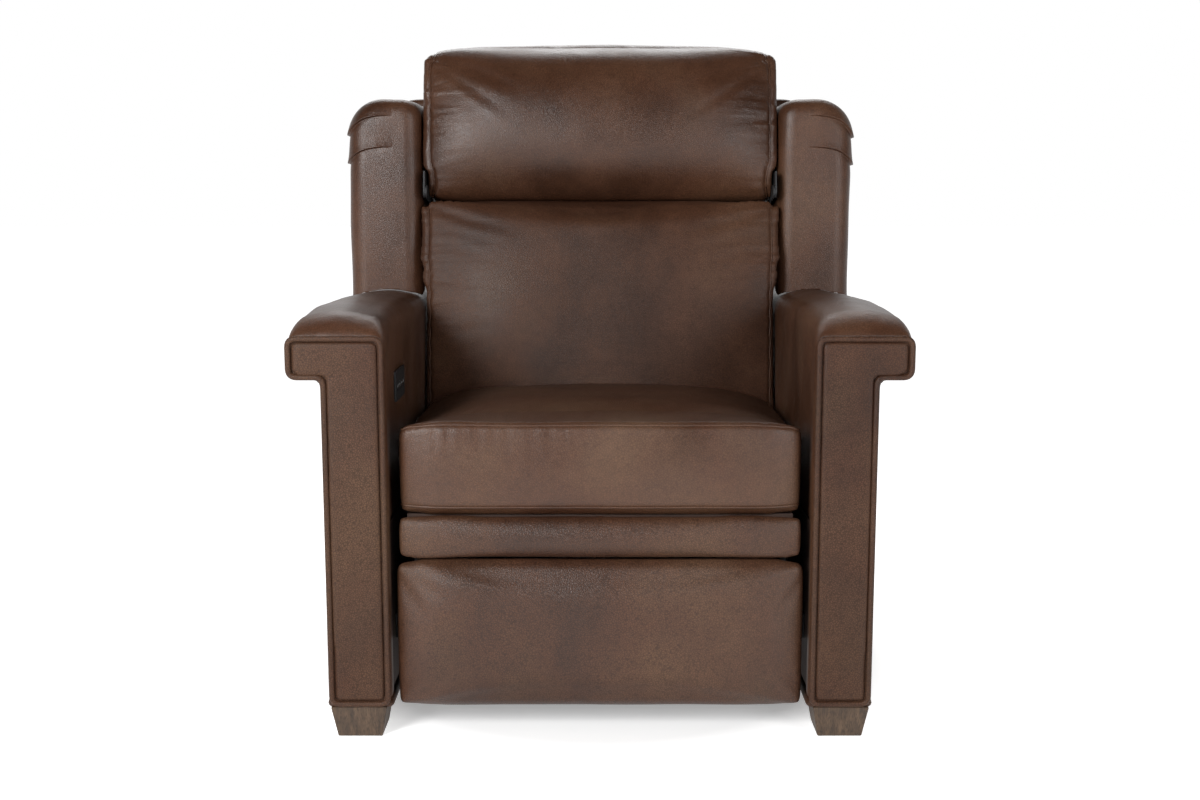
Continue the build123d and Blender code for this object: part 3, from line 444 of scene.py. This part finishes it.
def snapped(path, mesh, lift=0.0):
    """The path laid on a mesh's surface."""
    shape = bmesh.new()
    shape.from_mesh(mesh)
    surface = BVHTree.FromBMesh(shape)
    out = []
    for point in path:
        place, normal, _, _ = surface.find_nearest(point)
        out.append(place + normal * lift)
    shape.free()
    return out


def smoothed_path(path, rounds=3):
    """A closed path with its corners eased."""
    for _ in range(rounds):
        path = [(path[i - 1] + path[i] * 2 + path[(i + 1) % len(path)]) / 4 for i in range(len(path))]
    return path


def pressed(mesh, lines, depth, width, gather, reach, seed, pitch=0.012):
    """Sinks seams into a stuffed piece, with small gathers that run off them."""
    points = points_of(mesh)
    normals = normals_of(mesh)
    samples = [p for line in lines for p in line]
    tree = tree_of(samples)
    move = np.zeros(len(points))
    for index, point in enumerate(points):
        place, _, distance = tree.find(point)
        if distance > reach * 2:
            continue
        fall = math.exp(-((distance / width) ** 2))
        pleat = noise.noise(Vector(place) / pitch + Vector((seed, 0, 0)))
        move[index] = -depth * fall + gather * pleat * math.exp(-distance / reach) * (1 - fall)
    put_points(mesh, points + normals * move[:, None])


def rippled(mesh, height, size, seed):
    """Slow unevenness of leather over stuffing."""
    points = points_of(mesh)
    normals = normals_of(mesh)
    offset = Vector((seed, seed * 1.7, -seed))
    move = np.array([noise.noise(Vector(p) / size + offset) for p in points]) * height
    put_points(mesh, points + normals * move[:, None])


def swollen(scratch, pinned, cap, pressure):
    """Cloth simulation: stuffing pushes the panels out between pinned seams, up to a cap."""
    start = points_of(scratch.data)
    steps = 20
    group = scratch.vertex_groups.new(name="held")
    group.add([int(i) for i in np.nonzero(pinned)[0]], 1.0, "REPLACE")
    cloth = scratch.modifiers.new("stuffing", "CLOTH")
    settings = cloth.settings
    settings.quality = 5
    settings.mass = 0.3
    settings.tension_stiffness = 12
    settings.compression_stiffness = 12
    settings.shear_stiffness = 4
    settings.bending_stiffness = 0.6
    settings.use_pressure = True
    settings.uniform_pressure_force = pressure
    settings.vertex_group_mass = "held"
    settings.effector_weights.gravity = 0
    cloth.collision_settings.use_collision = False
    cloth.collision_settings.use_self_collision = False
    scene = bpy.context.scene
    scene.frame_start = 1
    scene.frame_end = steps
    cloth.point_cache.frame_start = 1
    cloth.point_cache.frame_end = steps
    for step in range(1, steps + 1):
        scene.frame_set(step)
    scratch.data = evaluated(scratch)
    scratch.modifiers.clear()
    scratch.vertex_groups.clear()
    scene.frame_set(1)
    move = points_of(scratch.data) - start
    length = np.linalg.norm(move, axis=1)
    share = np.where(length > cap, cap / np.maximum(length, 1e-9), 1.0)
    put_points(scratch.data, start + move * share[:, None])


def from_back(x, y, z):
    """A point of the back's own upright frame, leaned to its rest angle."""
    return Vector((x, hinge.y + y * math.cos(rake) + z * math.sin(rake),
                   hinge.z - y * math.sin(rake) + z * math.cos(rake)))


def in_back(points):
    """World points as the back's own upright frame."""
    y = points[:, 1] - hinge.y
    z = points[:, 2] - hinge.z
    c, s = math.cos(rake), math.sin(rake)
    return np.stack([points[:, 0], y * c - z * s, y * s + z * c], axis=1)


def out_of_back(points):
    """Points of the back's own upright frame as world points."""
    c, s = math.cos(rake), math.sin(rake)
    y, z = points[:, 1], points[:, 2]
    return np.stack([points[:, 0], hinge.y + y * c + z * s, hinge.z - y * s + z * c], axis=1)


def near_lines(mesh, lines, distance):
    """Which vertices lie near any of the lines."""
    tree = tree_of([p for line in lines for p in line])
    return np.array([tree.find(p)[2] < distance for p in points_of(mesh)])


def side_loop(side, x, y0, y1, z0, z1):
    """Seam round the side panel of a back cushion."""
    corners = [from_back(side * x, y0, z0), from_back(side * x, y0, z1), from_back(side * x, y1, z1),
               from_back(side * x, y1, z0)]
    return rounded_loop(corners, 0.035)


def stitches(name, line, surface_mesh, body, slot, gap=0.0052, length=0.0036, radius=0.0005, aside=0.004):
    """A row of sewn thread along a seam."""
    shape = bmesh.new()
    shape.from_mesh(surface_mesh)
    surface = BVHTree.FromBMesh(shape)
    shape.free()
    rows = bmesh.new()
    every = max(1, int(round(gap / path_step)))
    for index in range(0, len(line) - every, every):
        place, normal, _, _ = surface.find_nearest(line[index])
        along = (line[index + 1] - line[index]).normalized()
        across = normal.cross(along)
        turned = Matrix((along, across, normal)).transposed().to_4x4()
        turned.translation = place + across * aside + normal * radius * 0.6
        size = Matrix.Diagonal((length / 2, radius, radius, 1))
        bmesh.ops.create_icosphere(rows, subdivisions=1, radius=1.0, matrix=turned @ size)
    mesh = bpy.data.meshes.new(name)
    rows.to_mesh(mesh)
    rows.free()
    return new_piece(name, mesh, body, slot, thread)


def stuffed(name, nodes, body, slot, seams, held, limits, cap=0.022, voxel=0.006, raked=False,
            gather=0.0016, ripple=0.0012, seam_depth=0.0035, seam_width=0.0045, shrink=0.001,
            welt=0.0022, seed=1.0, smooth=3, pressure=4.0, reach=0.03, sewn=False, shape=None,
            material=None, soft=1, follow=False):
    """A stuffed leather piece: panels swell between their seams, which are then sewn in with a thin welt.

    held picks the points that stay still and cap is how far the rest may swell. shape gives the swollen
    piece its outline, with follow its seams too, and limits keeps it clear of its neighbours. raked pieces
    are shaped in the back's own frame.
    """
    scratch = merged_copy(nodes)
    even_mesh(scratch, voxel, smooth)
    points = points_of(scratch.data) - normals_of(scratch.data) * shrink
    put_points(scratch.data, points)
    lines = [snapped(dense(seam), scratch.data) for seam in seams]
    pinned = held(in_back(points) if raked else points)
    if lines:
        pinned = pinned | near_lines(scratch.data, lines, voxel * 1.1)
    swollen(scratch, pinned, cap, pressure)
    soften(scratch.data, soft)
    subdivided(scratch)
    rippled(scratch.data, ripple, size=0.11, seed=seed)
    if shape:
        points = points_of(scratch.data)
        own = shape(in_back(points) if raked else points.copy())
        put_points(scratch.data, out_of_back(own) if raked else own)
    if follow:
        lines = [[Vector(p) for p in shape(np.array(line))] for line in lines]
    if lines:
        lines = [snapped(line, scratch.data) for line in lines]
        pressed(scratch.data, lines, seam_depth, seam_width, gather, reach, seed)
    points = points_of(scratch.data)
    own = in_back(points) if raked else points.copy()
    own = limits(own)
    put_points(scratch.data, out_of_back(own) if raked else own)
    mesh = scratch.data
    bpy.data.objects.remove(scratch)
    piece = new_piece(name, mesh, body, slot, material)
    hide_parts(*nodes)
    if welt:
        for index, line in enumerate(lines):
            path = smoothed_path(snapped(line[::2], mesh, welt * 0.35), 4)
            piping(f"{name}_welt_{index + 1}", path, welt, body, slot=slot, material=material)
    if sewn:
        for index, line in enumerate(lines):
            stitches(f"{name}_stitches_{index + 1}", smoothed_path(line, 3), mesh, body, slot)


# ---- arms ----
def arm_outline(side, inset, corner):
    """Outline of an arm facing, moved inward, with rounded corners, as (x, z) points."""
    corners = [(facing_inner + inset, facing_bottom + inset), (facing_inner + inset, facing_top - inset),
               (cap_outer - inset, facing_top - inset), (cap_outer - inset, cap_underside + inset),
               (arm_outer - inset, cap_underside + inset), (arm_outer - inset, facing_bottom + inset)]
    path = rounded_loop([Vector((side * x, 0, z)) for x, z in corners], corner)
    return path if side > 0 else path[::-1]


def padded_panel(name, path, y, depth, crown, body, material):
    """A leather-covered panel with rolled edges on the front of an arm, forward from a plane at y."""
    shape = bmesh.new()
    verts = [shape.verts.new((p.x, y, p.z)) for p in path]
    face = shape.faces.new(verts)
    bmesh.ops.triangulate(shape, faces=[face])
    bmesh.ops.recalc_face_normals(shape, faces=shape.faces)
    if shape.faces[:][0].normal.y > 0:
        bmesh.ops.reverse_faces(shape, faces=shape.faces)
    back = bmesh.ops.extrude_face_region(shape, geom=shape.faces[:])
    moved = [g for g in back["geom"] if isinstance(g, bmesh.types.BMVert)]
    bmesh.ops.translate(shape, verts=moved, vec=(0, -depth, 0))
    bmesh.ops.recalc_face_normals(shape, faces=shape.faces)
    mesh = bpy.data.meshes.new(name)
    shape.to_mesh(mesh)
    shape.free()
    scratch = bpy.data.objects.new("scratch", mesh)
    bpy.context.collection.objects.link(scratch)
    even_mesh(scratch, voxel=0.0035, rounds=4)
    mesh = scratch.data
    bpy.data.objects.remove(scratch)
    points = points_of(mesh)
    ahead = points[:, 1] < y - depth * 0.4
    swell = np.array([noise.noise(Vector(p) / 0.07) for p in points]) * crown
    points[:, 1] = np.where(ahead, points[:, 1] + swell, points[:, 1])
    put_points(mesh, points)
    return new_piece(name, mesh, body, "leather_pebbled", material)


def arm(side, hand):
    """One upholstered arm: soft top, flat front facing inside a welt, and a rolled lower edge."""
    wave = 0.0022
    gathers = 0.0012
    crown = 0.008
    soft_from = 0.54        # height where the soft top starts
    crown_from = 0.57
    fade = 0.06
    scratch = merged_copy([f"arm_cover_{hand}"])
    even_mesh(scratch, voxel=0.006, rounds=3)
    mesh = scratch.data
    points = points_of(mesh)
    normals = normals_of(mesh)
    top = np.clip((points[:, 2] - soft_from) / fade, 0, 1) * (normals[:, 2] > -0.3)
    move = np.zeros(len(points))
    for index in np.nonzero(top > 0)[0]:
        p = Vector(points[index])
        behind = p.y - front
        crease = noise.noise(Vector((p.x / 0.012, p.y / 0.05, p.z / 0.012))) * math.exp(-behind / 0.05)
        move[index] = wave * noise.noise(p / 0.10) + gathers * crease
    points = points + normals * (move * top)[:, None]
    behind = points[:, 1] - front
    swell = np.clip((behind - 0.06) / 0.12, 0, 1) * np.clip((0.62 - behind) / 0.25, 0, 1)
    points[:, 2] += crown * swell * np.clip((points[:, 2] - crown_from) / fade, 0, 1)
    inward = np.clip((arm_inner + 0.03 - side * points[:, 0]) / 0.03, 0, 1)
    inward *= np.clip((0.08 - behind) / 0.06, 0, 1)
    points[:, 0] -= side * (arm_inner - facing_inner) * inward
    put_points(mesh, points)
    bpy.data.objects.remove(scratch)
    cover = new_piece(f"arm_{hand}", mesh, "base", "leather")
    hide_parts(f"arm_cover_{hand}")
    edge = [Vector((p.x, front + 0.0055, p.z)) for p in arm_outline(side, inset=0.0045, corner=0.013)]
    piping(f"arm_{hand}_welt", edge, radius=0.0046, body="base", sides=5, slot="leather_pebbled",
           material=facing_leather_painted_shade)
    panel = padded_panel(f"arm_{hand}_panel", arm_outline(side, inset=0.0096, corner=0.009),
                         y=front + 0.0186, depth=0.0166, crown=0.0007, body="base", material=facing_leather_painted_shade)
    padded_panel(f"arm_{hand}_panel_back", arm_outline(side, inset=0.0015, corner=0.014),
                 y=front + 0.0185, depth=0.0115, crown=0.0, body="base", material=facing_leather_painted_shade)
    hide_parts(f"arm_facing_{hand}")
    low = facing_bottom + 0.004
    hem = [Vector((side * (facing_inner + 0.003), front + 0.012, low)),
           Vector((side * (arm_outer - 0.003), front + 0.012, low)),
           Vector((side * (arm_outer - 0.003), arm_rear, low)),
           Vector((side * (arm_inner + 0.003), arm_rear, low))]
    piping(f"arm_{hand}_lower_roll", rounded_loop(hem, 0.006), radius=0.0066, body="base", sides=4,
           slot="leather_pebbled", material=facing_leather_painted_shade)


arm(1, "left")
arm(-1, "right")


# ---- seat ----
def rectangle(x, y0, y1, level):
    """A level rectangular seam with rounded corners."""
    corners = [Vector((-x, y0, level)), Vector((x, y0, level)), Vector((x, y1, level)),
               Vector((-x, y1, level))]
    return rounded_loop(corners, 0.02)


def spread(values, low, high):
    """Values stretched so that they just fill two limits."""
    start = values.min()
    return low + (values - start) * (high - low) / (values.max() - start)


def rolled(p, rear, low, high, share, power):
    """Draws a cushion's face back towards its lower and upper edges."""
    v = np.clip((p[:, 2] - low) / (high - low), 0, 1)
    depth = share + (1 - share) * (1 - np.abs(2 * v - 1) ** power) ** 0.6
    p[:, 1] = rear + (p[:, 1] - rear) * depth


def seat_shape(p):
    """A domed top behind a level front edge, over a lip that turns under at the bottom."""
    front_half = 0.3100
    widest = 0.3255
    dome = 0.006
    shoulder = 0.026        # how far the top falls towards its sides
    front_rise = 0.008
    lip_drop = 0.004
    lip_turn = 0.010
    ahead = p[:, 1] < front + 0.06
    p[:, 0] *= front_half / np.abs(p[ahead, 0]).max()
    p[:, 0] = np.clip(p[:, 0], -widest, widest)
    back = np.clip((p[:, 1] - front - 0.03) / 0.16, 0, 1)
    high = np.clip((p[:, 2] - 0.43) / 0.05, 0, 1)
    across = np.clip(np.abs(p[:, 0]) / front_half, 0, 1)
    p[:, 2] += high * back * (dome - shoulder * across ** 3)
    rise = np.clip((front + 0.11 - p[:, 1]) / 0.07, 0, 1) * np.clip((p[:, 2] - 0.37) / 0.10, 0, 1)
    p[:, 2] += front_rise * rise
    at_front = np.clip((front + 0.05 - p[:, 1]) / 0.02, 0, 1)
    lip = at_front * np.clip((0.40 - p[:, 2]) / 0.05, 0, 1)
    p[:, 2] -= lip_drop * lip
    under = np.clip((0.360 - p[:, 2]) / 0.012, 0, 1) * at_front
    p[:, 1] += lip_turn * under
    return p


def seat_limits(p):
    """Between the arms and above the band."""
    p[:, 0] = np.clip(p[:, 0], -seat_half, seat_half)
    p[:, 2] = np.maximum(p[:, 2], seat_low)
    return p


seat_seams = [rectangle(0.303, front + 0.013, front + 0.478, 0.4975),   # round the top
              rectangle(0.299, front + 0.024, front + 0.480, 0.363)]    # round the bottom
stuffed("seat", ["seat_cushion"], "carriage", "leather", seat_seams,
        lambda p: p[:, 2] < 0.353, seat_limits, cap=0.024, seed=2.0, shape=seat_shape, gather=0.0009,
        seam_depth=0.0016, welt=0.0019, material=seat_leather, follow=True)


def strip_shape(p):
    """The band fills the room under the seat."""
    p[:, 0] = spread(p[:, 0], -band_half, band_half)
    p[:, 2] = spread(p[:, 2], band_low, band_high)
    return p


def strip_limits(p):
    """In front of the seat's frame."""
    p[:, 1] = np.minimum(p[:, 1], front + 0.0447)
    return p


stuffed("front_band", ["front_strip"], "carriage", "leather_pebbled", [],
        lambda p: p[:, 1] > front + 0.040, strip_limits, cap=0.006, voxel=0.005, seed=3.0, welt=0,
        shape=strip_shape, smooth=6, soft=2)


def pad_shape(p):
    """The footrest fills the room under the band."""
    p[:, 0] = spread(p[:, 0], -pad_half, pad_half)
    p[:, 2] = spread(p[:, 2], pad_low, pad_high)
    return p


def pad_limits(p):
    """In front of the footrest's board."""
    p[:, 1] = np.minimum(p[:, 1], front + 0.0457)
    return p


stuffed("footrest_cushion", ["footrest_pad"], "footrest", "leather_pebbled", [],
        lambda p: p[:, 1] > front + 0.030, pad_limits, cap=0.007, voxel=0.005, seed=4.0, welt=0,
        shape=pad_shape, smooth=14, soft=9)


# ---- back ----
def lumbar_reach(height):
    """Half width of the lumbar cushion: between the arms below, over them above."""
    return np.clip((height - 0.300) / 0.025, 0, 1) * lumbar_bulge + lumbar_half


def running_mean(values):
    """Each value averaged with its two neighbours on both sides."""
    return np.convolve(np.pad(values, 2, mode="edge"), np.ones(5) / 5, mode="valid")


def lumbar_shape(p):
    """A level top edge, sides that meet the arms and wings, and a face rolled back at both ends."""
    columns, half_span = 40, 0.34
    rows, height = 30, 0.48
    level_edge = 0.4735
    near = p[:, 2] > 0.40
    line = np.full(columns, -1.0)
    place = np.clip(((p[:, 0] + half_span) / (2 * half_span) * columns).astype(int), 0, columns - 1)
    np.maximum.at(line, place[near], p[near, 2])
    line = running_mean(line)
    share = np.clip((p[:, 2] - 0.40) / 0.06, 0, 1)
    inside = np.clip((0.325 - np.abs(p[:, 0])) / 0.02, 0.4, 1)
    p[:, 2] += share * inside * np.maximum(level_edge - line[place], 0)
    widest = np.zeros(rows)
    level = np.clip((p[:, 2] / height * rows).astype(int), 0, rows - 1)
    np.maximum.at(widest, level, np.abs(p[:, 0]))
    p[:, 0] *= lumbar_reach(p[:, 2]) / running_mean(widest)[level]
    rolled(p, lumbar_rear, low=0.02, high=0.4760, share=0.86, power=6.0)
    return p


def lumbar_limits(p):
    """In front of the back's springs, inside its sides and below the headrest."""
    p[:, 1] = np.minimum(p[:, 1], lumbar_rear)
    wide = lumbar_reach(p[:, 2])
    p[:, 0] = np.clip(p[:, 0], -wide, wide)
    p[:, 2] = np.minimum(p[:, 2], lumbar_top)
    return p


lumbar_seams = [side_loop(side, x=0.331, y0=-0.196, y1=-0.058, z0=0.060, z1=0.480) for side in (1, -1)]
stuffed("lumbar", ["lumbar_cushion"], "back", "leather", lumbar_seams,
        lambda p: p[:, 1] > -0.052, lumbar_limits, cap=0.018, raked=True, seed=5.0, welt=0.0014,
        seam_depth=0.003, sewn=True, shape=lumbar_shape, material=lumbar_leather)


def head_shape(p):
    """A puffed face that bows forward and up in the middle, rolled back at both ends."""
    widening = 1.025
    half_span = 0.33
    peak = 0.7780
    crown = 0.006
    bow = 0.012
    p[:, 0] *= widening
    across = np.clip(np.abs(p[:, 0]) / half_span, 0, 1)
    p[:, 2] = spread(p[:, 2], head_low, peak)
    p[:, 2] += crown * (1 - across ** 2) * np.clip((p[:, 2] - 0.70) / 0.07, 0, 1)
    v = np.clip((p[:, 2] - head_low) / (head_high - head_low), 0, 1)
    full = (1 - across ** 2.6) * (1 - np.abs(2 * v - 1) ** 2)
    ahead = np.clip((-0.12 - p[:, 1]) / 0.05, 0, 1)
    p[:, 1] -= bow * full * ahead
    rolled(p, head_rear, head_low, head_high, share=0.62, power=3.4)
    return p


def head_limits(p):
    """In front of the headrest's board, clear of its steel arms and above the lumbar cushion."""
    p[:, 1] = np.minimum(p[:, 1], head_rear)
    wide = np.clip((p[:, 2] - 0.526) / 0.01, 0, 1) * head_bulge + head_half
    p[:, 0] = np.clip(p[:, 0], -wide, wide)
    p[:, 2] = np.maximum(p[:, 2], 0.4742)
    return p


head_seams = [side_loop(side, x=0.329, y0=-0.192, y1=-0.066, z0=0.474, z1=0.775) for side in (1, -1)]
stuffed("headrest_pillow", ["headrest_cushion"], "headrest", "leather", head_seams,
        lambda p: (p[:, 1] > -0.064) | (p[:, 2] < 0.482), head_limits, cap=0.026, raked=True, seed=6.0,
        gather=0.003, reach=0.045, welt=0.0014, seam_depth=0.003, sewn=True, pressure=5.0, shape=head_shape,
        material=back_leather, soft=2)


# ---- wings and outer back ----
# Each tuck: its height at the wing's outer face, how far it rises inward, and the height of its fold.
tucks = ((0.936, 0.044, 0.0045), (0.886, 0.036, 0.0045))


def tuck_height(low, rise, out):
    """Height of a tuck at a distance inward from the wing's outer face."""
    return low + rise * (1 - np.exp(-out / 0.020))


def tucked(scratch, side):
    """Two overlapped tucks that wrap the wing's outer top corner."""
    shape = bmesh.new()
    shape.from_mesh(scratch.data)
    for _ in range(2):
        close = []
        for face in shape.faces:
            c = face.calc_center_median()
            out = max(wing_outer - side * c.x, 0)
            if out < 0.10 and any(abs(c.z - tuck_height(low, rise, out)) < 0.007 for low, rise, _ in tucks):
                close.append(face)
        edges = list({edge for face in close for edge in face.edges})
        bmesh.ops.subdivide_edges(shape, edges=edges, cuts=1, use_grid_fill=True)
    shape.to_mesh(scratch.data)
    shape.free()
    mesh = scratch.data
    points = points_of(mesh)
    normals = normals_of(mesh)
    move = np.zeros(len(points))
    out = np.maximum(wing_outer - side * points[:, 0], 0)
    for low, rise, height in tucks:
        d = points[:, 2] - tuck_height(low, rise, out)
        fade = np.clip((0.086 - out) / 0.030, 0, 1)
        lip = np.clip((d + 0.0008) / 0.0016, 0, 1)
        over = lip * np.exp(-np.maximum(d, 0) / 0.018) - 0.4 * (1 - lip) * np.exp(np.minimum(d, 0) / 0.010)
        move += height * fade * over * (np.abs(d) < 0.06)
    put_points(mesh, points + normals * move[:, None])


def arm_top(x):
    """Height of the arm's padded top at a distance from the chair's middle."""
    radius = 0.030
    shoulder = 0.622        # height where the rounded edges start
    half_width = 0.042
    edge = np.clip(np.minimum(x - arm_inner, cap_outer - x), 0, radius)
    middle = (x - (arm_inner + cap_outer) / 2) / half_width
    crown = 0.006 * np.clip(1 - middle ** 2, 0, 1)
    return shoulder + np.sqrt(radius ** 2 - (radius - edge) ** 2) + crown


def wing(side, hand):
    """A wing whose front foot rests on the arm's round top, and whose underside slopes up to the rear."""
    underside = 0.663
    spare = 0.06            # drawn down past the arm, then cut to its top
    widening = 1.02
    press = 0.0020          # how far the foot sinks into the arm
    highest_foot = 0.6605
    scratch = merged_copy([f"wing_{hand}"])
    points = points_of(scratch.data)
    low = points[:, 2] < underside + recline_slope * np.maximum(points[:, 1] - wing_front, 0)
    points[:, 2] -= spare * low
    put_points(scratch.data, points)
    even_mesh(scratch, voxel=0.005, rounds=2)
    subdivided(scratch)
    rippled(scratch.data, height=0.0022, size=0.11, seed=7.0 + side)
    tucked(scratch, side)
    mesh = scratch.data
    points = points_of(mesh)
    wider = wing_inner + (side * points[:, 0] - wing_inner) * widening
    points[:, 0] = side * np.maximum(wider, wing_inner + 0.0002)
    behind = np.maximum(points[:, 1] - wing_front - 0.014, 0)
    foot = np.minimum(arm_top(side * points[:, 0]) - press + behind, highest_foot) + recline_slope * behind
    points[:, 2] = np.maximum(points[:, 2], foot)
    put_points(mesh, points)
    shape = bmesh.new()
    shape.from_mesh(mesh)
    bmesh.ops.remove_doubles(shape, verts=shape.verts, dist=0.0003)
    bmesh.ops.dissolve_degenerate(shape, edges=shape.edges, dist=0.0001)
    bmesh.ops.recalc_face_normals(shape, faces=shape.faces)
    shape.to_mesh(mesh)
    shape.free()
    bpy.data.objects.remove(scratch)
    piece = new_piece(f"wing_pillow_{hand}", mesh, "back", "leather")
    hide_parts(f"wing_{hand}")


wing(1, "left")
wing(-1, "right")


def cover_over(name, covered, rounds, ripple, seed):
    """Leather stretched over a piece of the back, with softened edges."""
    scratch = merged_copy([covered])
    even_mesh(scratch, voxel=0.006, rounds=rounds)
    rippled(scratch.data, ripple, size=0.10, seed=seed)
    mesh = scratch.data
    bpy.data.objects.remove(scratch)
    piece = new_piece(name, mesh, "back", "leather")
    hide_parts(covered)


cover_over("outer_back_cover", "outer_back", rounds=3, ripple=0.0015, seed=9.0)
cover_over("back_top_cover", "back_top_pad", rounds=4, ripple=0.002, seed=10.0)


# ---- feet ----
def wooden_foot(name):
    """A tapered oak foot with eased edges."""
    low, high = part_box(name)
    middle = (low + high) / 2
    upper_half = 0.0435
    lower_half = 0.0345
    shape = bmesh.new()
    bmesh.ops.create_cube(shape, size=1.0)
    for vert in shape.verts:
        half = upper_half if vert.co.z > 0 else lower_half
        vert.co = Vector((middle.x + math.copysign(half, vert.co.x),
                          middle.y + math.copysign(half, vert.co.y),
                          high.z if vert.co.z > 0 else low.z))
    bmesh.ops.bevel(shape, geom=shape.edges[:], offset=0.0022, segments=3, profile=0.5, affect="EDGES",
                    material=-1)
    mesh = bpy.data.meshes.new(name)
    shape.to_mesh(mesh)
    shape.free()
    piece = new_piece(f"{name}_oak", mesh, "base", "foot_wood")
    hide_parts(name)
    for polygon in mesh.polygons:
        polygon.use_smooth = False


for name in ("front_foot_left", "front_foot_right", "rear_foot_left", "rear_foot_right"):
    wooden_foot(name)


# ---- room, light and camera ----
def floor_paint():
    """White floor: lit by the lamps, lifted to white for the camera and gloss, with the shadow kept."""
    shadow_lift = 0.34      # how far the floor under the chair is lifted, against 1 away from it
    material, tree, shader = finish("floor_paint", 0.9)
    shader.inputs["Base Color"].default_value = (0.9, 0.9, 0.9, 1)
    shader.inputs["Specular IOR Level"].default_value = 0.0
    path = tree.nodes.new("ShaderNodeLightPath")
    seen = node(tree, "ShaderNodeMath", operation="MAXIMUM")
    tree.links.new(path.outputs["Is Camera Ray"], seen.inputs[0])
    tree.links.new(path.outputs["Is Transmission Ray"], seen.inputs[1])
    glossy = node(tree, "ShaderNodeMath", operation="MAXIMUM")
    tree.links.new(seen.outputs[0], glossy.inputs[0])
    tree.links.new(path.outputs["Is Glossy Ray"], glossy.inputs[1])
    place = tree.nodes.new("ShaderNodeTexCoord")
    wide = node(tree, "ShaderNodeMapping")
    wide.inputs["Scale"].default_value = (1.15, 1.0, 1.0)
    tree.links.new(place.outputs["Object"], wide.inputs["Vector"])
    away = node(tree, "ShaderNodeVectorMath", operation="LENGTH")
    tree.links.new(wide.outputs["Vector"], away.inputs[0])
    lift = grey_ramp(tree, away.outputs["Value"], low=shadow_lift, high=1.0, start=0.49, end=0.68)
    strength = node(tree, "ShaderNodeMath", operation="MULTIPLY")
    tree.links.new(glossy.outputs[0], strength.inputs[0])
    tree.links.new(lift, strength.inputs[1])
    shader.inputs["Emission Color"].default_value = (1, 1, 1, 1)
    tree.links.new(strength.outputs[0], shader.inputs["Emission Strength"])
    return material


def floor():
    """The floor, far wider than the view."""
    shape = bmesh.new()
    bmesh.ops.create_grid(shape, x_segments=1, y_segments=1, size=30.0)
    mesh = bpy.data.meshes.new("floor")
    shape.to_mesh(mesh)
    shape.free()
    made = bpy.data.objects.new("floor", mesh)
    bpy.context.collection.objects.link(made)
    made.data.materials.append(floor_paint())


def lamp(name, place, target, size, power):
    """A soft rectangular lamp."""
    data = bpy.data.lights.new(name, "AREA")
    data.shape = "RECTANGLE"
    data.size = size[0]
    data.size_y = size[1]
    data.energy = power
    made = bpy.data.objects.new(name, data)
    bpy.context.collection.objects.link(made)
    made.location = place
    made.rotation_euler = (Vector(target) - Vector(place)).to_track_quat("-Z", "Y").to_euler()


def white_room():
    """White backdrop for the camera, gloss and glass, under a dim ceiling, with a plain grey light."""
    ambient = 0.17
    world = bpy.data.worlds.new("white_room")
    bpy.context.scene.world = world
    world.use_nodes = True
    tree = world.node_tree
    tree.nodes.clear()
    path = tree.nodes.new("ShaderNodeLightPath")
    place = tree.nodes.new("ShaderNodeTexCoord")
    axes = tree.nodes.new("ShaderNodeSeparateXYZ")
    tree.links.new(place.outputs["Generated"], axes.inputs[0])
    behind = grey_ramp(tree, axes.outputs["Y"], low=0.08, high=1.0, start=-0.1, end=0.5)
    under = grey_ramp(tree, axes.outputs["Z"], low=1.0, high=0.15, start=0.30, end=0.80)
    backdrop = node(tree, "ShaderNodeMath", operation="MULTIPLY")
    tree.links.new(behind, backdrop.inputs[0])
    tree.links.new(under, backdrop.inputs[1])
    grey = node(tree, "ShaderNodeBackground", Strength=ambient)
    gloss = node(tree, "ShaderNodeBackground")
    tree.links.new(backdrop.outputs[0], gloss.inputs["Strength"])
    white = node(tree, "ShaderNodeBackground", Strength=1.0)
    for shade in (grey, gloss, white):
        shade.inputs["Color"].default_value = (1, 1, 1, 1)
    seen = node(tree, "ShaderNodeMath", operation="MAXIMUM")
    tree.links.new(path.outputs["Is Camera Ray"], seen.inputs[0])
    tree.links.new(path.outputs["Is Transmission Ray"], seen.inputs[1])
    first = tree.nodes.new("ShaderNodeMixShader")
    tree.links.new(path.outputs["Is Glossy Ray"], first.inputs["Fac"])
    tree.links.new(grey.outputs[0], first.inputs[1])
    tree.links.new(gloss.outputs[0], first.inputs[2])
    second = tree.nodes.new("ShaderNodeMixShader")
    tree.links.new(seen.outputs[0], second.inputs["Fac"])
    tree.links.new(first.outputs[0], second.inputs[1])
    tree.links.new(white.outputs[0], second.inputs[2])
    out = tree.nodes.new("ShaderNodeOutputWorld")
    tree.links.new(second.outputs[0], out.inputs["Surface"])


floor()
white_room()
lamp("key", (-1.6, -2.7, 1.65), target=(0, 0, 0.62), size=(0.9, 1.3), power=92)
lamp("fill", (1.9, -2.8, 1.3), target=(0, 0, 0.55), size=(1.2, 1.4), power=40)
lamp("rear_top", (0, 1.7, 2.3), target=(0, 0, 0.8), size=(2.4, 0.8), power=26)

camera_pitch = math.radians(8.4)
view = bpy.data.cameras.new("camera")
view.lens = 42.69
view.sensor_width = 36
camera = bpy.data.objects.new("camera", view)
bpy.context.collection.objects.link(camera)
camera.location = (0, -2.585, 0.842)
camera.rotation_euler = (math.radians(90) - camera_pitch, 0, 0)
bpy.context.scene.camera = camera
bpy.context.scene.view_settings.view_transform = "Standard"
